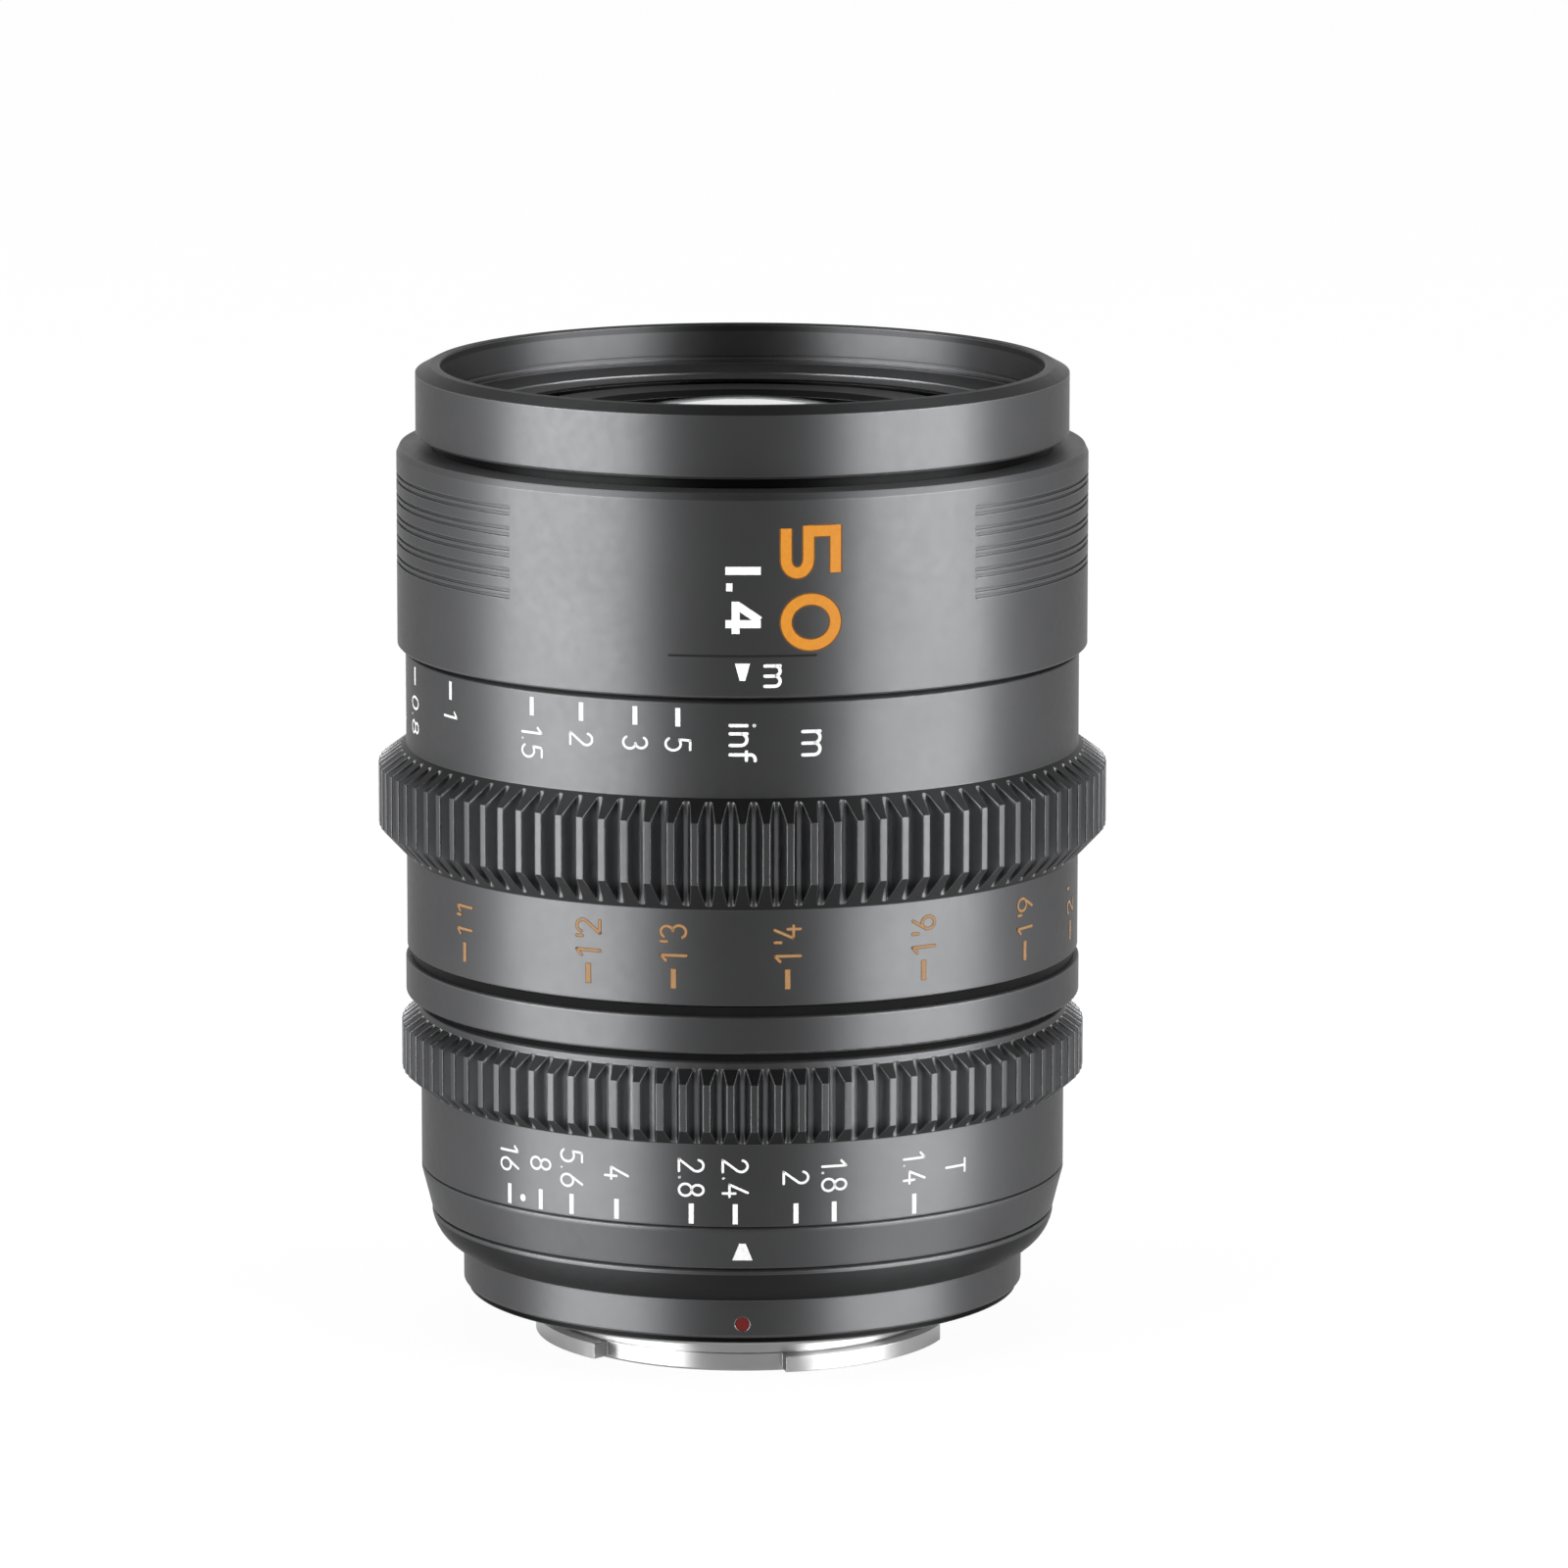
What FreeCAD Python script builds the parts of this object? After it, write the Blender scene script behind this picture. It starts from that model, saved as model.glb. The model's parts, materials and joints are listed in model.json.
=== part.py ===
import FreeCAD, Part
import math
import os

# Cine prime lens for a mirrorless camera, standing on its bayonet with the front element up.
# Frame: millimetres, origin at the centre of the mount's flange face, +Z towards the front
# element. The side that carries the index marks faces -Y. Angles are counted from -Y towards +X.

# Fits
RUN = 0.05           # radial clearance of a turning or sliding fit
SEAT = 0.03          # radial clearance of a seated or screwed-in piece
FACE = 0.05          # axial clearance of a turning face

# Heights of the pieces that show, stacked from the flange face at Z = 0
FLANGE_THICKNESS = 1.45
MOUNT_SHIM_THICKNESS = 0.2
REAR_BARREL_LENGTH = 8.22
REAR_BARREL_BAND = 0.45              # straight band at the rear barrel's top
REAR_BARREL_SKIRT = 4.15             # cylindrical part of the rear barrel
REAR_BARREL_LIP_DROP = 0.65          # lip round the flange, under the rear barrel's bottom
REAR_BARREL_FLOOR = 4.35
INDEX_RING_GAP = 0.28
INDEX_RING_HEIGHT = 4.65
IRIS_RING_GAP = 0.15
IRIS_SCALE_HEIGHT = 9.05
IRIS_GEAR_LOWER_RAMP = 1.78
IRIS_GEAR_FACE = 5.14
IRIS_GEAR_UPPER_RAMP = 1.38
IRIS_LIP_HEIGHT = 0.73
IRIS_WASHER_THICKNESS = 1.1
MID_RING_HEIGHT = 4.02
REAR_THRUST_THICKNESS = 1.05
FOCUS_RING_GAP = 0.15
FEET_SCALE_HEIGHT = 10.44
FOCUS_GEAR_LOWER_RAMP = 3.21
FOCUS_GEAR_FACE = 6.69
FOCUS_GEAR_UPPER_RAMP = 2.22
METRE_SCALE_HEIGHT = 10.28
THRUST_WASHER_THICKNESS = 1.01
BARREL_GAP = 0.62
BARREL_LENGTH = 21.89
FRONT_RING_GAP = 1.21
FRONT_RING_FACE = 6.8
RIM_CHAMFER_HEIGHT = 0.86

# Radii of the pieces that show, stepped from the focus ring down to the mount
FOCUS_RING_R = 36.95
MID_RING_STEP = 0.15
REAR_THRUST_INSET = 0.45
IRIS_RING_INSET = 1.6                # iris ring inside the middle ring
IRIS_LIP_STEP = 0.24
IRIS_WASHER_INSET = 0.5
INDEX_RING_TAPER = 1.06
INDEX_RING_BAND = 0.4                # straight band at the index ring's top
REAR_BARREL_INSET = 0.08             # rear barrel's top inside the index ring
REAR_BARREL_TAPER = 3.46
REAR_BARREL_LIP_INSET = 0.55
REAR_BARREL_BELLY_IN = 0.86          # the cone's bulge, measured in and down from its top edge
REAR_BARREL_BELLY_DOWN = 2.35

# Radii of the front end, stepped from the front barrel
BARREL_R = 37.85
BARREL_WALL = 2.8
BARREL_WEB_WIDTH = 6.45
FRONT_RING_INSET = 2.1
FRONT_NECK_INSET = 3.9
FRONT_NECK_WALL = 1.65
FRONT_NECK_DEPTH = 5.75
RIM_CHAMFER_WIDTH = 1.61
FRONT_RING_LOWER_EDGE = 0.3
FRONT_RING_WALL = 2.7                # from the front ring's outside to the filter thread

# Filter thread, M67 x 0.75, and what lies under it
FILTER_MOUTH_CHAMFER = 0.15
FILTER_THREAD_LENGTH = 3.37
FILTER_RELIEF_HEIGHT = 0.45
FILTER_RELIEF_DEPTH = 0.45
FILTER_LAND_HEIGHT = 0.3
FILTER_LAND_DEPTH = 0.36
FILTER_GROOVE_HEIGHT = 0.15
FILTER_GROOVE_DEPTH = 0.7

# Stepped ring in the mouth and the ring that holds the front element
BEAUTY_EDGE_HEIGHT = 2.15
BEAUTY_STEP_INSET = 2.85
BEAUTY_STEP_FALL = 0.65
BEAUTY_STEP_DROP = 0.18
BEAUTY_INNER_FALL = 1.15
BEAUTY_INNER_GAP = 1.25
BEAUTY_SKIRT_WALL = 0.75
FRONT_RETAINER_R = 25.7
FRONT_RETAINER_LIP_R = 21.5
FRONT_RETAINER_BORE_R = 20.4
FRONT_RETAINER_HEIGHT = 0.9
FRONT_RETAINER_LIP_DROP = 0.6
SPANNER_NOTCH_WIDTH = 1.6
SPANNER_NOTCH_DEPTH = 0.5

# Front barrel
BARREL_SHOULDER = 0.75               # height of the chamfer at the barrel's top
BARREL_SHOULDER_WIDTH = 0.35         # its width
BARREL_EDGE = 0.2
BARREL_LIP_HEIGHT = 3.8
BARREL_WEB_THICKNESS = 3.0
GRIP_PAIRS = 5
GRIP_TOP_INSET = 3.18                # top pair of grip lines under the barrel's top
GRIP_PAIR_PITCH = 2.24
GRIP_LINE_SPACING = 0.69
GRIP_LINE_WIDTH = 0.38
GRIP_LINE_DEPTH = 0.35
GRIP_START_DEG = 41.2
GRIP_SPAN_DEG = 97.6

# Front cell and its three elements
FRONT_CELL_SINK = 0.1                # cell's top under the seat of the stepped ring
FRONT_CELL_R = 27.4
FRONT_CELL_TAIL_R = 23.0
FRONT_CELL_FLANGE_WIDTH = 3.2
FRONT_CELL_FLANGE_THICKNESS = 2.5
FRONT_CELL_LEDGE_HEIGHT = 1.2
FRONT_CELL_TAIL_OVERHANG = 0.1
FRONT_ELEMENT_R = 24.2
FRONT_ELEMENT_CLEAR_R = 22.8
FRONT_ELEMENT_SINK = 2.43            # glass edge under the cell's top
FRONT_ELEMENT_EDGE = 2.6
FRONT_ELEMENT_FRONT_CURVE = 53.0
FRONT_ELEMENT_REAR_CURVE = 180.0
FRONT_SPACER_HEIGHT = 2.87
SECOND_ELEMENT_EDGE = 4.4
SECOND_ELEMENT_CLEAR_R = 20.0
SECOND_ELEMENT_FRONT_CURVE = 70.0
SECOND_ELEMENT_REAR_CURVE = 45.0
THIRD_ELEMENT_R = 20.0
THIRD_ELEMENT_CLEAR_R = 17.5
THIRD_ELEMENT_EDGE = 7.3
THIRD_ELEMENT_FRONT_CURVE = -80.0
THIRD_ELEMENT_REAR_CURVE = 40.0
RETAINER_HEIGHT = 1.5
SEAT_MARGIN = 0.15

# Guide tube, cam sleeve and focus ring
FOCUS_RING_WALL = 5.32
CAM_SLEEVE_WALL = 2.05
GUIDE_TUBE_WALL = 1.5
GUIDE_FLANGE_HEIGHT = 4.0
GUIDE_SEAT_DEPTH = 1.9               # guide tube's end down inside the middle ring
CAM_FLANGE_WIDTH = 2.9
CAM_FLANGE_HEIGHT = 1.85
FOCUS_RING_EDGE = 0.12
FOCUS_RELIEF_DEPTH = 2.0
FOCUS_LAND_HEIGHT = 4.0
FOCUS_GEAR_RISE = 3.05               # gear's tips over the focus ring
GEAR_MODULE = 0.8
FOCUS_GEAR_DEPTH = 2.6
IRIS_GEAR_DEPTH = 2.0
GEAR_SPACE_TIP = 1.79
GEAR_SPACE_ROOT = 0.74
GEAR_ROOT_FILLET = 0.16
THRUST_WASHER_WIDTH = 2.2
FOCUS_THROW_DEG = 235.0
CAM_LEAD = 12.6          # axial travel of the carriage in one whole turn of the focus ring
FOLLOWERS = 3
FOLLOWER_R = 1.25
FOLLOWER_UP = 8.6                    # followers over the focus ring's bottom
FOLLOWER_START_DEG = 60.0
FOLLOWER_ROOT = 2.4
STOP_PIN_R = 0.8
STOP_PIN_DOWN = 6.24                 # stop pin under the focus ring's top
STOP_PIN_DEG = 90.0
STOP_GROOVE_DEPTH = 1.05

# Focus carriage and its three elements
CARRIAGE_TAIL = 4.0                  # carriage's bottom under its followers
CARRIAGE_LENGTH = 20.2
CARRIAGE_TAIL_DEPTH = 2.0
CARRIAGE_LEDGE_HEIGHT = 1.2
CARRIAGE_TAIL_BORE_R = 22.0
CARRIAGE_ELEMENT_R = 20.0
CARRIAGE_CLEAR_R = 18.0
SIXTH_ELEMENT_EDGE = 4.0
SIXTH_ELEMENT_FRONT_CURVE = 55.0
SIXTH_ELEMENT_REAR_CURVE = -80.0
CARRIAGE_REAR_SPACER = 1.8
FIFTH_ELEMENT_EDGE = 4.2
FIFTH_ELEMENT_FRONT_CURVE = 300.0
FIFTH_ELEMENT_REAR_CURVE = 50.0
CARRIAGE_FRONT_SPACER = 2.0
FOURTH_ELEMENT_EDGE = 2.8
FOURTH_ELEMENT_FRONT_CURVE = 60.0
FOURTH_ELEMENT_REAR_CURVE = -200.0

# Middle ring and iris ring
MID_RING_ROUND = 0.3
IRIS_HOUSING_WALL = 2.7
IRIS_LEDGE_UP = 2.55                 # ledge's top over the iris ring's bottom
IRIS_LEDGE_HEIGHT = 1.5
IRIS_LEDGE_WIDTH = 3.8
IRIS_RING_EDGE = 0.12
IRIS_RELIEF_DEPTH = 2.4
IRIS_LAND_HEIGHT = 3.0
IRIS_GEAR_RISE = 2.1
IRIS_WASHER_BORE_GAP = 0.85
IRIS_OPEN_DEG = 31.5      # from the rest position back to fully open
IRIS_CLOSE_DEG = 45.3     # from the rest position on to the smallest aperture
IRIS_PIN_R = 0.8
IRIS_PIN_DEG = 180.0
IRIS_PIN_REACH = 3.4
IRIS_KEYWAY_DOWN = 3.525

# Iris mechanism
BLADES = 9
BLADE_RATIO = 0.485       # turn of a blade for one degree of the iris ring
BLADE_THICKNESS = 0.18
BLADE_PITCH = 0.28
BLADE_WIDTH = 4.5
BLADE_SWEEP_DEG = 116.0
BLADE_HEEL_DEG = 7.0
PIVOT_INSET = 6.0         # pivots inside the housing's bore
BLADE_INSET = 1.8         # blades' outer edge inside the pivots
PIVOT_PIN_R = 0.5
DRIVE_PIN_R = 0.4
DRIVE_ARM = 5.2
TAB_R = 1.0
BASE_PLATE_THICKNESS = 1.0
BASE_RIM_WALL = 1.1
BLADE_GAP = 0.1
ROTOR_PLATE = 0.8
ROTOR_GAP = 0.13
ROTOR_BORE_INSET = 0.4    # rotor's bore inside the pivots
ROTOR_RIM_WALL = 1.55
ROTOR_RIM_HEIGHT = 2.95
CAM_SLOT_STEPS = 14
IRIS_RETAINER_HEIGHT = 1.0
IRIS_RETAINER_WIDTH = 4.3

# Rear cell and its three elements
REAR_CELL_GAP = 0.3       # rear cell inside the mount's bore
REAR_CELL_BOTTOM_Z = 0.2
REAR_CELL_LEDGE = 1.2
REAR_CELL_FLANGE_HEIGHT = 4.5
REAR_CELL_WALL = 2.0
REAR_CLEAR_INSET = 1.5
NINTH_ELEMENT_EDGE = 2.0
NINTH_ELEMENT_FRONT_CURVE = 70.0
NINTH_ELEMENT_REAR_CURVE = -200.0
REAR_LONG_SPACER = 5.6
EIGHTH_ELEMENT_EDGE = 2.4
EIGHTH_ELEMENT_FRONT_CURVE = 90.0
EIGHTH_ELEMENT_REAR_CURVE = -45.0
REAR_SHORT_SPACER = 2.0
SEVENTH_ELEMENT_EDGE = 6.8
SEVENTH_ELEMENT_FRONT_CURVE = -30.0
SEVENTH_ELEMENT_REAR_CURVE = 100.0
REAR_RETAINER_HEIGHT = 1.2

# Rear barrel
REAR_BARREL_EDGE = 0.25
REAR_BARREL_BORE_GAP = 2.25          # rear barrel's bore outside the spigot

# Bayonet
SPIGOT_R = 21.25
SPIGOT_WALL = 1.95
SPIGOT_STEP = 0.3
SPIGOT_GROOVE = 0.2                   # height and depth of the groove over the step
SPIGOT_STEP_Z = -2.45
SPIGOT_BOTTOM_Z = -4.4
FLANGE_WIDTH = 6.05
FLANGE_EDGE = 0.2
SHIM_INSET = 0.4
FLANGE_LIP_GAP = 0.15
LUG_HEIGHT = 1.7
LUG_REACH = 1.7
LUG_ROOT = 0.5                       # how far a lug runs into the spigot's wall
LUG_STARTS_DEG = (12.0, 132.0, 255.0)
LUG_SPAN_DEG = 60.0
LOCK_SLOT_WIDTH = 2.6
LOCK_SLOT_LENGTH = 2.8
LOCK_SLOT_DEPTH = 1.1
LOCK_SLOT_DEG = 118.0
MOUNT_SCREWS = 4
MOUNT_SCREW_INSET = 1.7             # screw circle inside the flange's edge
MOUNT_SCREW_START_DEG = 45.0
INDEX_DOT_R = 0.75
INDEX_DOT_UP = 1.55                  # dot over the rear barrel's bottom
INDEX_DOT_SUNK = 0.05
INDEX_DOT_DEPTH = 1.0
BAFFLE_BOTTOM_Z = -3.9
BAFFLE_TOP_Z = -2.2
BAFFLE_RIM_X = 5.8
BAFFLE_RIM_Y = 9.3
BAFFLE_CORNER_R = 3.0

# Screws: head radius, head height, shank radius
SCREW_HEAD_R = 1.3
SCREW_HEAD_HEIGHT = 0.9
SCREW_SHANK_R = 0.7
SCREW_SLOT_WIDTH = 0.35
SCREW_SLOT_DEPTH = 0.4
CELL_SCREWS = 4
CELL_SCREW_OUT = 1.1                 # screw circle outside the web's bore
CELL_SCREW_LENGTH = 4.2
BARREL_SCREWS = 6
BARREL_SCREW_INSET = 1.6             # screw circle inside the barrel's bore
BARREL_SCREW_LENGTH = 5.5
RING_SCREWS = 6
RING_SCREW_INSET = 1.4               # screw circle inside the cam flange's edge
RING_SCREW_LENGTH = 5.0
MOUNT_SCREW_LENGTH = 4.6

# Heights that follow
REAR_BARREL_BOTTOM_Z = FLANGE_THICKNESS + MOUNT_SHIM_THICKNESS
REAR_BARREL_LIP_Z = REAR_BARREL_BOTTOM_Z - REAR_BARREL_LIP_DROP
REAR_BARREL_TOP_Z = REAR_BARREL_BOTTOM_Z + REAR_BARREL_LENGTH
REAR_BARREL_CORNER_Z = REAR_BARREL_BOTTOM_Z + REAR_BARREL_SKIRT
REAR_BARREL_BELLY_Z = REAR_BARREL_TOP_Z - REAR_BARREL_BELLY_DOWN
IRIS_HOUSING_BOTTOM_Z = REAR_BARREL_BOTTOM_Z + REAR_BARREL_FLOOR
INDEX_DOT_Z = REAR_BARREL_BOTTOM_Z + INDEX_DOT_UP
INDEX_RING_BOTTOM_Z = REAR_BARREL_TOP_Z + INDEX_RING_GAP
INDEX_RING_TOP_Z = INDEX_RING_BOTTOM_Z + INDEX_RING_HEIGHT
IRIS_RING_BOTTOM_Z = INDEX_RING_TOP_Z + IRIS_RING_GAP
IRIS_GEAR_FOOT_BOTTOM_Z = IRIS_RING_BOTTOM_Z + IRIS_SCALE_HEIGHT
IRIS_GEAR_BOTTOM_Z = IRIS_GEAR_FOOT_BOTTOM_Z + IRIS_GEAR_LOWER_RAMP
IRIS_GEAR_TOP_Z = IRIS_GEAR_BOTTOM_Z + IRIS_GEAR_FACE
IRIS_GEAR_FOOT_TOP_Z = IRIS_GEAR_TOP_Z + IRIS_GEAR_UPPER_RAMP
IRIS_RING_TOP_Z = IRIS_GEAR_FOOT_TOP_Z + IRIS_LIP_HEIGHT
MID_RING_BOTTOM_Z = IRIS_RING_TOP_Z + FACE + IRIS_WASHER_THICKNESS
MID_RING_TOP_Z = MID_RING_BOTTOM_Z + MID_RING_HEIGHT
REAR_THRUST_TOP_Z = MID_RING_TOP_Z + REAR_THRUST_THICKNESS
FOCUS_RING_BOTTOM_Z = REAR_THRUST_TOP_Z + FOCUS_RING_GAP
FOCUS_GEAR_FOOT_BOTTOM_Z = FOCUS_RING_BOTTOM_Z + FEET_SCALE_HEIGHT
FOCUS_GEAR_BOTTOM_Z = FOCUS_GEAR_FOOT_BOTTOM_Z + FOCUS_GEAR_LOWER_RAMP
FOCUS_GEAR_TOP_Z = FOCUS_GEAR_BOTTOM_Z + FOCUS_GEAR_FACE
FOCUS_GEAR_FOOT_TOP_Z = FOCUS_GEAR_TOP_Z + FOCUS_GEAR_UPPER_RAMP
FOCUS_RING_TOP_Z = FOCUS_GEAR_FOOT_TOP_Z + METRE_SCALE_HEIGHT
GUIDE_FLANGE_BOTTOM_Z = FOCUS_RING_TOP_Z + FACE + THRUST_WASHER_THICKNESS
BARREL_WEB_BOTTOM_Z = GUIDE_FLANGE_BOTTOM_Z + GUIDE_FLANGE_HEIGHT
BARREL_WEB_TOP_Z = BARREL_WEB_BOTTOM_Z + BARREL_WEB_THICKNESS
BARREL_BOTTOM_Z = FOCUS_RING_TOP_Z + BARREL_GAP
BARREL_TOP_Z = BARREL_BOTTOM_Z + BARREL_LENGTH
GRIP_TOP_PAIR_Z = BARREL_TOP_Z - GRIP_TOP_INSET
FRONT_NECK_BOTTOM_Z = BARREL_TOP_Z - FRONT_NECK_DEPTH
FRONT_RING_BOTTOM_Z = BARREL_TOP_Z + FRONT_RING_GAP
FRONT_RING_EDGE_Z = FRONT_RING_BOTTOM_Z + FRONT_RING_FACE
RIM_Z = FRONT_RING_EDGE_Z + RIM_CHAMFER_HEIGHT
FILTER_THREAD_END_Z = RIM_Z - FILTER_MOUTH_CHAMFER - FILTER_THREAD_LENGTH
FILTER_LAND_TOP_Z = FILTER_THREAD_END_Z - FILTER_RELIEF_HEIGHT
FILTER_GROOVE_TOP_Z = FILTER_LAND_TOP_Z - FILTER_LAND_HEIGHT
FILTER_GROOVE_BOTTOM_Z = FILTER_GROOVE_TOP_Z - FILTER_GROOVE_HEIGHT
BEAUTY_OUTER_Z = FILTER_GROOVE_BOTTOM_Z - FACE
BEAUTY_STEP_Z = BEAUTY_OUTER_Z - BEAUTY_STEP_FALL
BEAUTY_INNER_Z = BEAUTY_OUTER_Z - BEAUTY_INNER_FALL
BEAUTY_SEAT_Z = BEAUTY_OUTER_Z - BEAUTY_EDGE_HEIGHT
FRONT_CELL_TOP_Z = BEAUTY_SEAT_Z - FRONT_CELL_SINK
FRONT_RETAINER_Z = FRONT_CELL_TOP_Z + FRONT_RETAINER_HEIGHT
FRONT_RETAINER_BORE_Z = FRONT_RETAINER_Z - FRONT_RETAINER_LIP_DROP
FRONT_ELEMENT_EDGE_Z = FRONT_CELL_TOP_Z - FRONT_ELEMENT_SINK
FRONT_ELEMENT_REAR_Z = FRONT_ELEMENT_EDGE_Z - FRONT_ELEMENT_EDGE
SECOND_ELEMENT_EDGE_Z = FRONT_ELEMENT_REAR_Z - FRONT_SPACER_HEIGHT
SECOND_ELEMENT_REAR_Z = SECOND_ELEMENT_EDGE_Z - SECOND_ELEMENT_EDGE
FRONT_CELL_LEDGE_Z = SECOND_ELEMENT_REAR_Z - FRONT_CELL_LEDGE_HEIGHT
THIRD_ELEMENT_REAR_Z = FRONT_CELL_LEDGE_Z - THIRD_ELEMENT_EDGE
FRONT_CELL_BOTTOM_Z = THIRD_ELEMENT_REAR_Z - RETAINER_HEIGHT - FRONT_CELL_TAIL_OVERHANG
GUIDE_TUBE_BOTTOM_Z = MID_RING_TOP_Z - GUIDE_SEAT_DEPTH
FOLLOWER_Z = FOCUS_RING_BOTTOM_Z + FOLLOWER_UP
STOP_PIN_Z = FOCUS_RING_TOP_Z - STOP_PIN_DOWN
CARRIAGE_BOTTOM_Z = FOLLOWER_Z - CARRIAGE_TAIL
CARRIAGE_TOP_Z = CARRIAGE_BOTTOM_Z + CARRIAGE_LENGTH
CARRIAGE_LEDGE_Z = CARRIAGE_BOTTOM_Z + CARRIAGE_TAIL_DEPTH
CARRIAGE_SEAT_Z = CARRIAGE_LEDGE_Z + CARRIAGE_LEDGE_HEIGHT
SIXTH_ELEMENT_TOP_Z = CARRIAGE_SEAT_Z + SIXTH_ELEMENT_EDGE
FIFTH_ELEMENT_BOTTOM_Z = SIXTH_ELEMENT_TOP_Z + CARRIAGE_REAR_SPACER
FIFTH_ELEMENT_TOP_Z = FIFTH_ELEMENT_BOTTOM_Z + FIFTH_ELEMENT_EDGE
FOURTH_ELEMENT_BOTTOM_Z = FIFTH_ELEMENT_TOP_Z + CARRIAGE_FRONT_SPACER
FOURTH_ELEMENT_TOP_Z = FOURTH_ELEMENT_BOTTOM_Z + FOURTH_ELEMENT_EDGE
IRIS_LEDGE_TOP_Z = IRIS_RING_BOTTOM_Z + IRIS_LEDGE_UP
BASE_PLATE_Z = IRIS_LEDGE_TOP_Z + REAR_CELL_FLANGE_HEIGHT
BLADE_FIRST_Z = BASE_PLATE_Z + BASE_PLATE_THICKNESS + BLADE_GAP
BLADE_STACK_TOP_Z = BLADE_FIRST_Z + (BLADES - 1) * BLADE_PITCH + BLADE_THICKNESS
ROTOR_Z = BLADE_STACK_TOP_Z + ROTOR_GAP
ROTOR_TOP_Z = ROTOR_Z + ROTOR_RIM_HEIGHT
IRIS_PIN_Z = (ROTOR_Z + ROTOR_PLATE + ROTOR_TOP_Z) / 2
IRIS_KEYWAY_BOTTOM_Z = IRIS_PIN_Z - IRIS_KEYWAY_DOWN
REAR_SEAT_Z = REAR_CELL_BOTTOM_Z + REAR_CELL_LEDGE
NINTH_ELEMENT_TOP_Z = REAR_SEAT_Z + NINTH_ELEMENT_EDGE
EIGHTH_ELEMENT_BOTTOM_Z = NINTH_ELEMENT_TOP_Z + REAR_LONG_SPACER
EIGHTH_ELEMENT_TOP_Z = EIGHTH_ELEMENT_BOTTOM_Z + EIGHTH_ELEMENT_EDGE
SEVENTH_ELEMENT_BOTTOM_Z = EIGHTH_ELEMENT_TOP_Z + REAR_SHORT_SPACER
SEVENTH_ELEMENT_TOP_Z = SEVENTH_ELEMENT_BOTTOM_Z + SEVENTH_ELEMENT_EDGE
LUG_BOTTOM_Z = SPIGOT_STEP_Z - LUG_HEIGHT
FOCUS_TRAVEL = CAM_LEAD * FOCUS_THROW_DEG / 360
BLADE_REST_DEG = BLADE_RATIO * IRIS_OPEN_DEG

# Radii that follow
FOCUS_BORE_R = FOCUS_RING_R - FOCUS_RING_WALL
CAM_SLEEVE_R = FOCUS_BORE_R - SEAT
CAM_BORE_R = CAM_SLEEVE_R - CAM_SLEEVE_WALL
CAM_FLANGE_R = CAM_SLEEVE_R + CAM_FLANGE_WIDTH
GUIDE_TUBE_R = CAM_BORE_R - RUN
GUIDE_TUBE_BORE_R = GUIDE_TUBE_R - GUIDE_TUBE_WALL
FOCUS_GEAR_TEETH = round(2 * (FOCUS_RING_R + FOCUS_GEAR_RISE) / GEAR_MODULE) - 2
FOCUS_GEAR_R = GEAR_MODULE * (FOCUS_GEAR_TEETH + 2) / 2
MID_RING_R = FOCUS_RING_R + MID_RING_STEP
REAR_THRUST_R = FOCUS_RING_R - REAR_THRUST_INSET
IRIS_RING_R = MID_RING_R - IRIS_RING_INSET
IRIS_LIP_R = IRIS_RING_R + IRIS_LIP_STEP
IRIS_GEAR_TEETH = round(2 * (IRIS_RING_R + IRIS_GEAR_RISE) / GEAR_MODULE) - 2
IRIS_GEAR_R = GEAR_MODULE * (IRIS_GEAR_TEETH + 2) / 2
IRIS_HOUSING_R = GUIDE_TUBE_R
IRIS_HOUSING_BORE_R = IRIS_HOUSING_R - IRIS_HOUSING_WALL
IRIS_LEDGE_R = IRIS_HOUSING_BORE_R - IRIS_LEDGE_WIDTH
IRIS_BORE_R = IRIS_HOUSING_R + RUN
IRIS_SEAT_R = IRIS_HOUSING_BORE_R - SEAT
IRIS_WASHER_R = IRIS_RING_R - IRIS_WASHER_INSET
IRIS_RETAINER_BORE_R = IRIS_HOUSING_BORE_R - IRIS_RETAINER_WIDTH
PIVOT_CIRCLE_R = IRIS_HOUSING_BORE_R - PIVOT_INSET
BLADE_OUTER_R = PIVOT_CIRCLE_R - BLADE_INSET
BLADE_INNER_R = BLADE_OUTER_R - BLADE_WIDTH
ROTOR_R = IRIS_HOUSING_BORE_R - RUN
ROTOR_RIM_INNER_R = ROTOR_R - ROTOR_RIM_WALL
ROTOR_BORE_R = PIVOT_CIRCLE_R - ROTOR_BORE_INSET
INDEX_RING_TOP_R = IRIS_RING_R
INDEX_RING_BOTTOM_R = INDEX_RING_TOP_R - INDEX_RING_TAPER
REAR_BARREL_TOP_R = INDEX_RING_BOTTOM_R - REAR_BARREL_INSET
REAR_BARREL_BELLY_R = REAR_BARREL_TOP_R - REAR_BARREL_BELLY_IN
REAR_BARREL_R = REAR_BARREL_TOP_R - REAR_BARREL_TAPER
REAR_BARREL_BORE_R = SPIGOT_R + REAR_BARREL_BORE_GAP
FLANGE_R = SPIGOT_R + FLANGE_WIDTH
SPIGOT_BORE_R = SPIGOT_R - SPIGOT_WALL
LUG_R = SPIGOT_R + LUG_REACH
MOUNT_SCREW_CIRCLE_R = FLANGE_R - MOUNT_SCREW_INSET
REAR_CELL_R = SPIGOT_BORE_R - REAR_CELL_GAP
REAR_ELEMENT_R = REAR_CELL_R - REAR_CELL_WALL
REAR_CLEAR_R = REAR_ELEMENT_R - REAR_CLEAR_INSET
BAFFLE_WINDOW_X = 2 * (SPIGOT_BORE_R - BAFFLE_RIM_X)
BAFFLE_WINDOW_Y = 2 * (SPIGOT_BORE_R - BAFFLE_RIM_Y)
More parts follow.
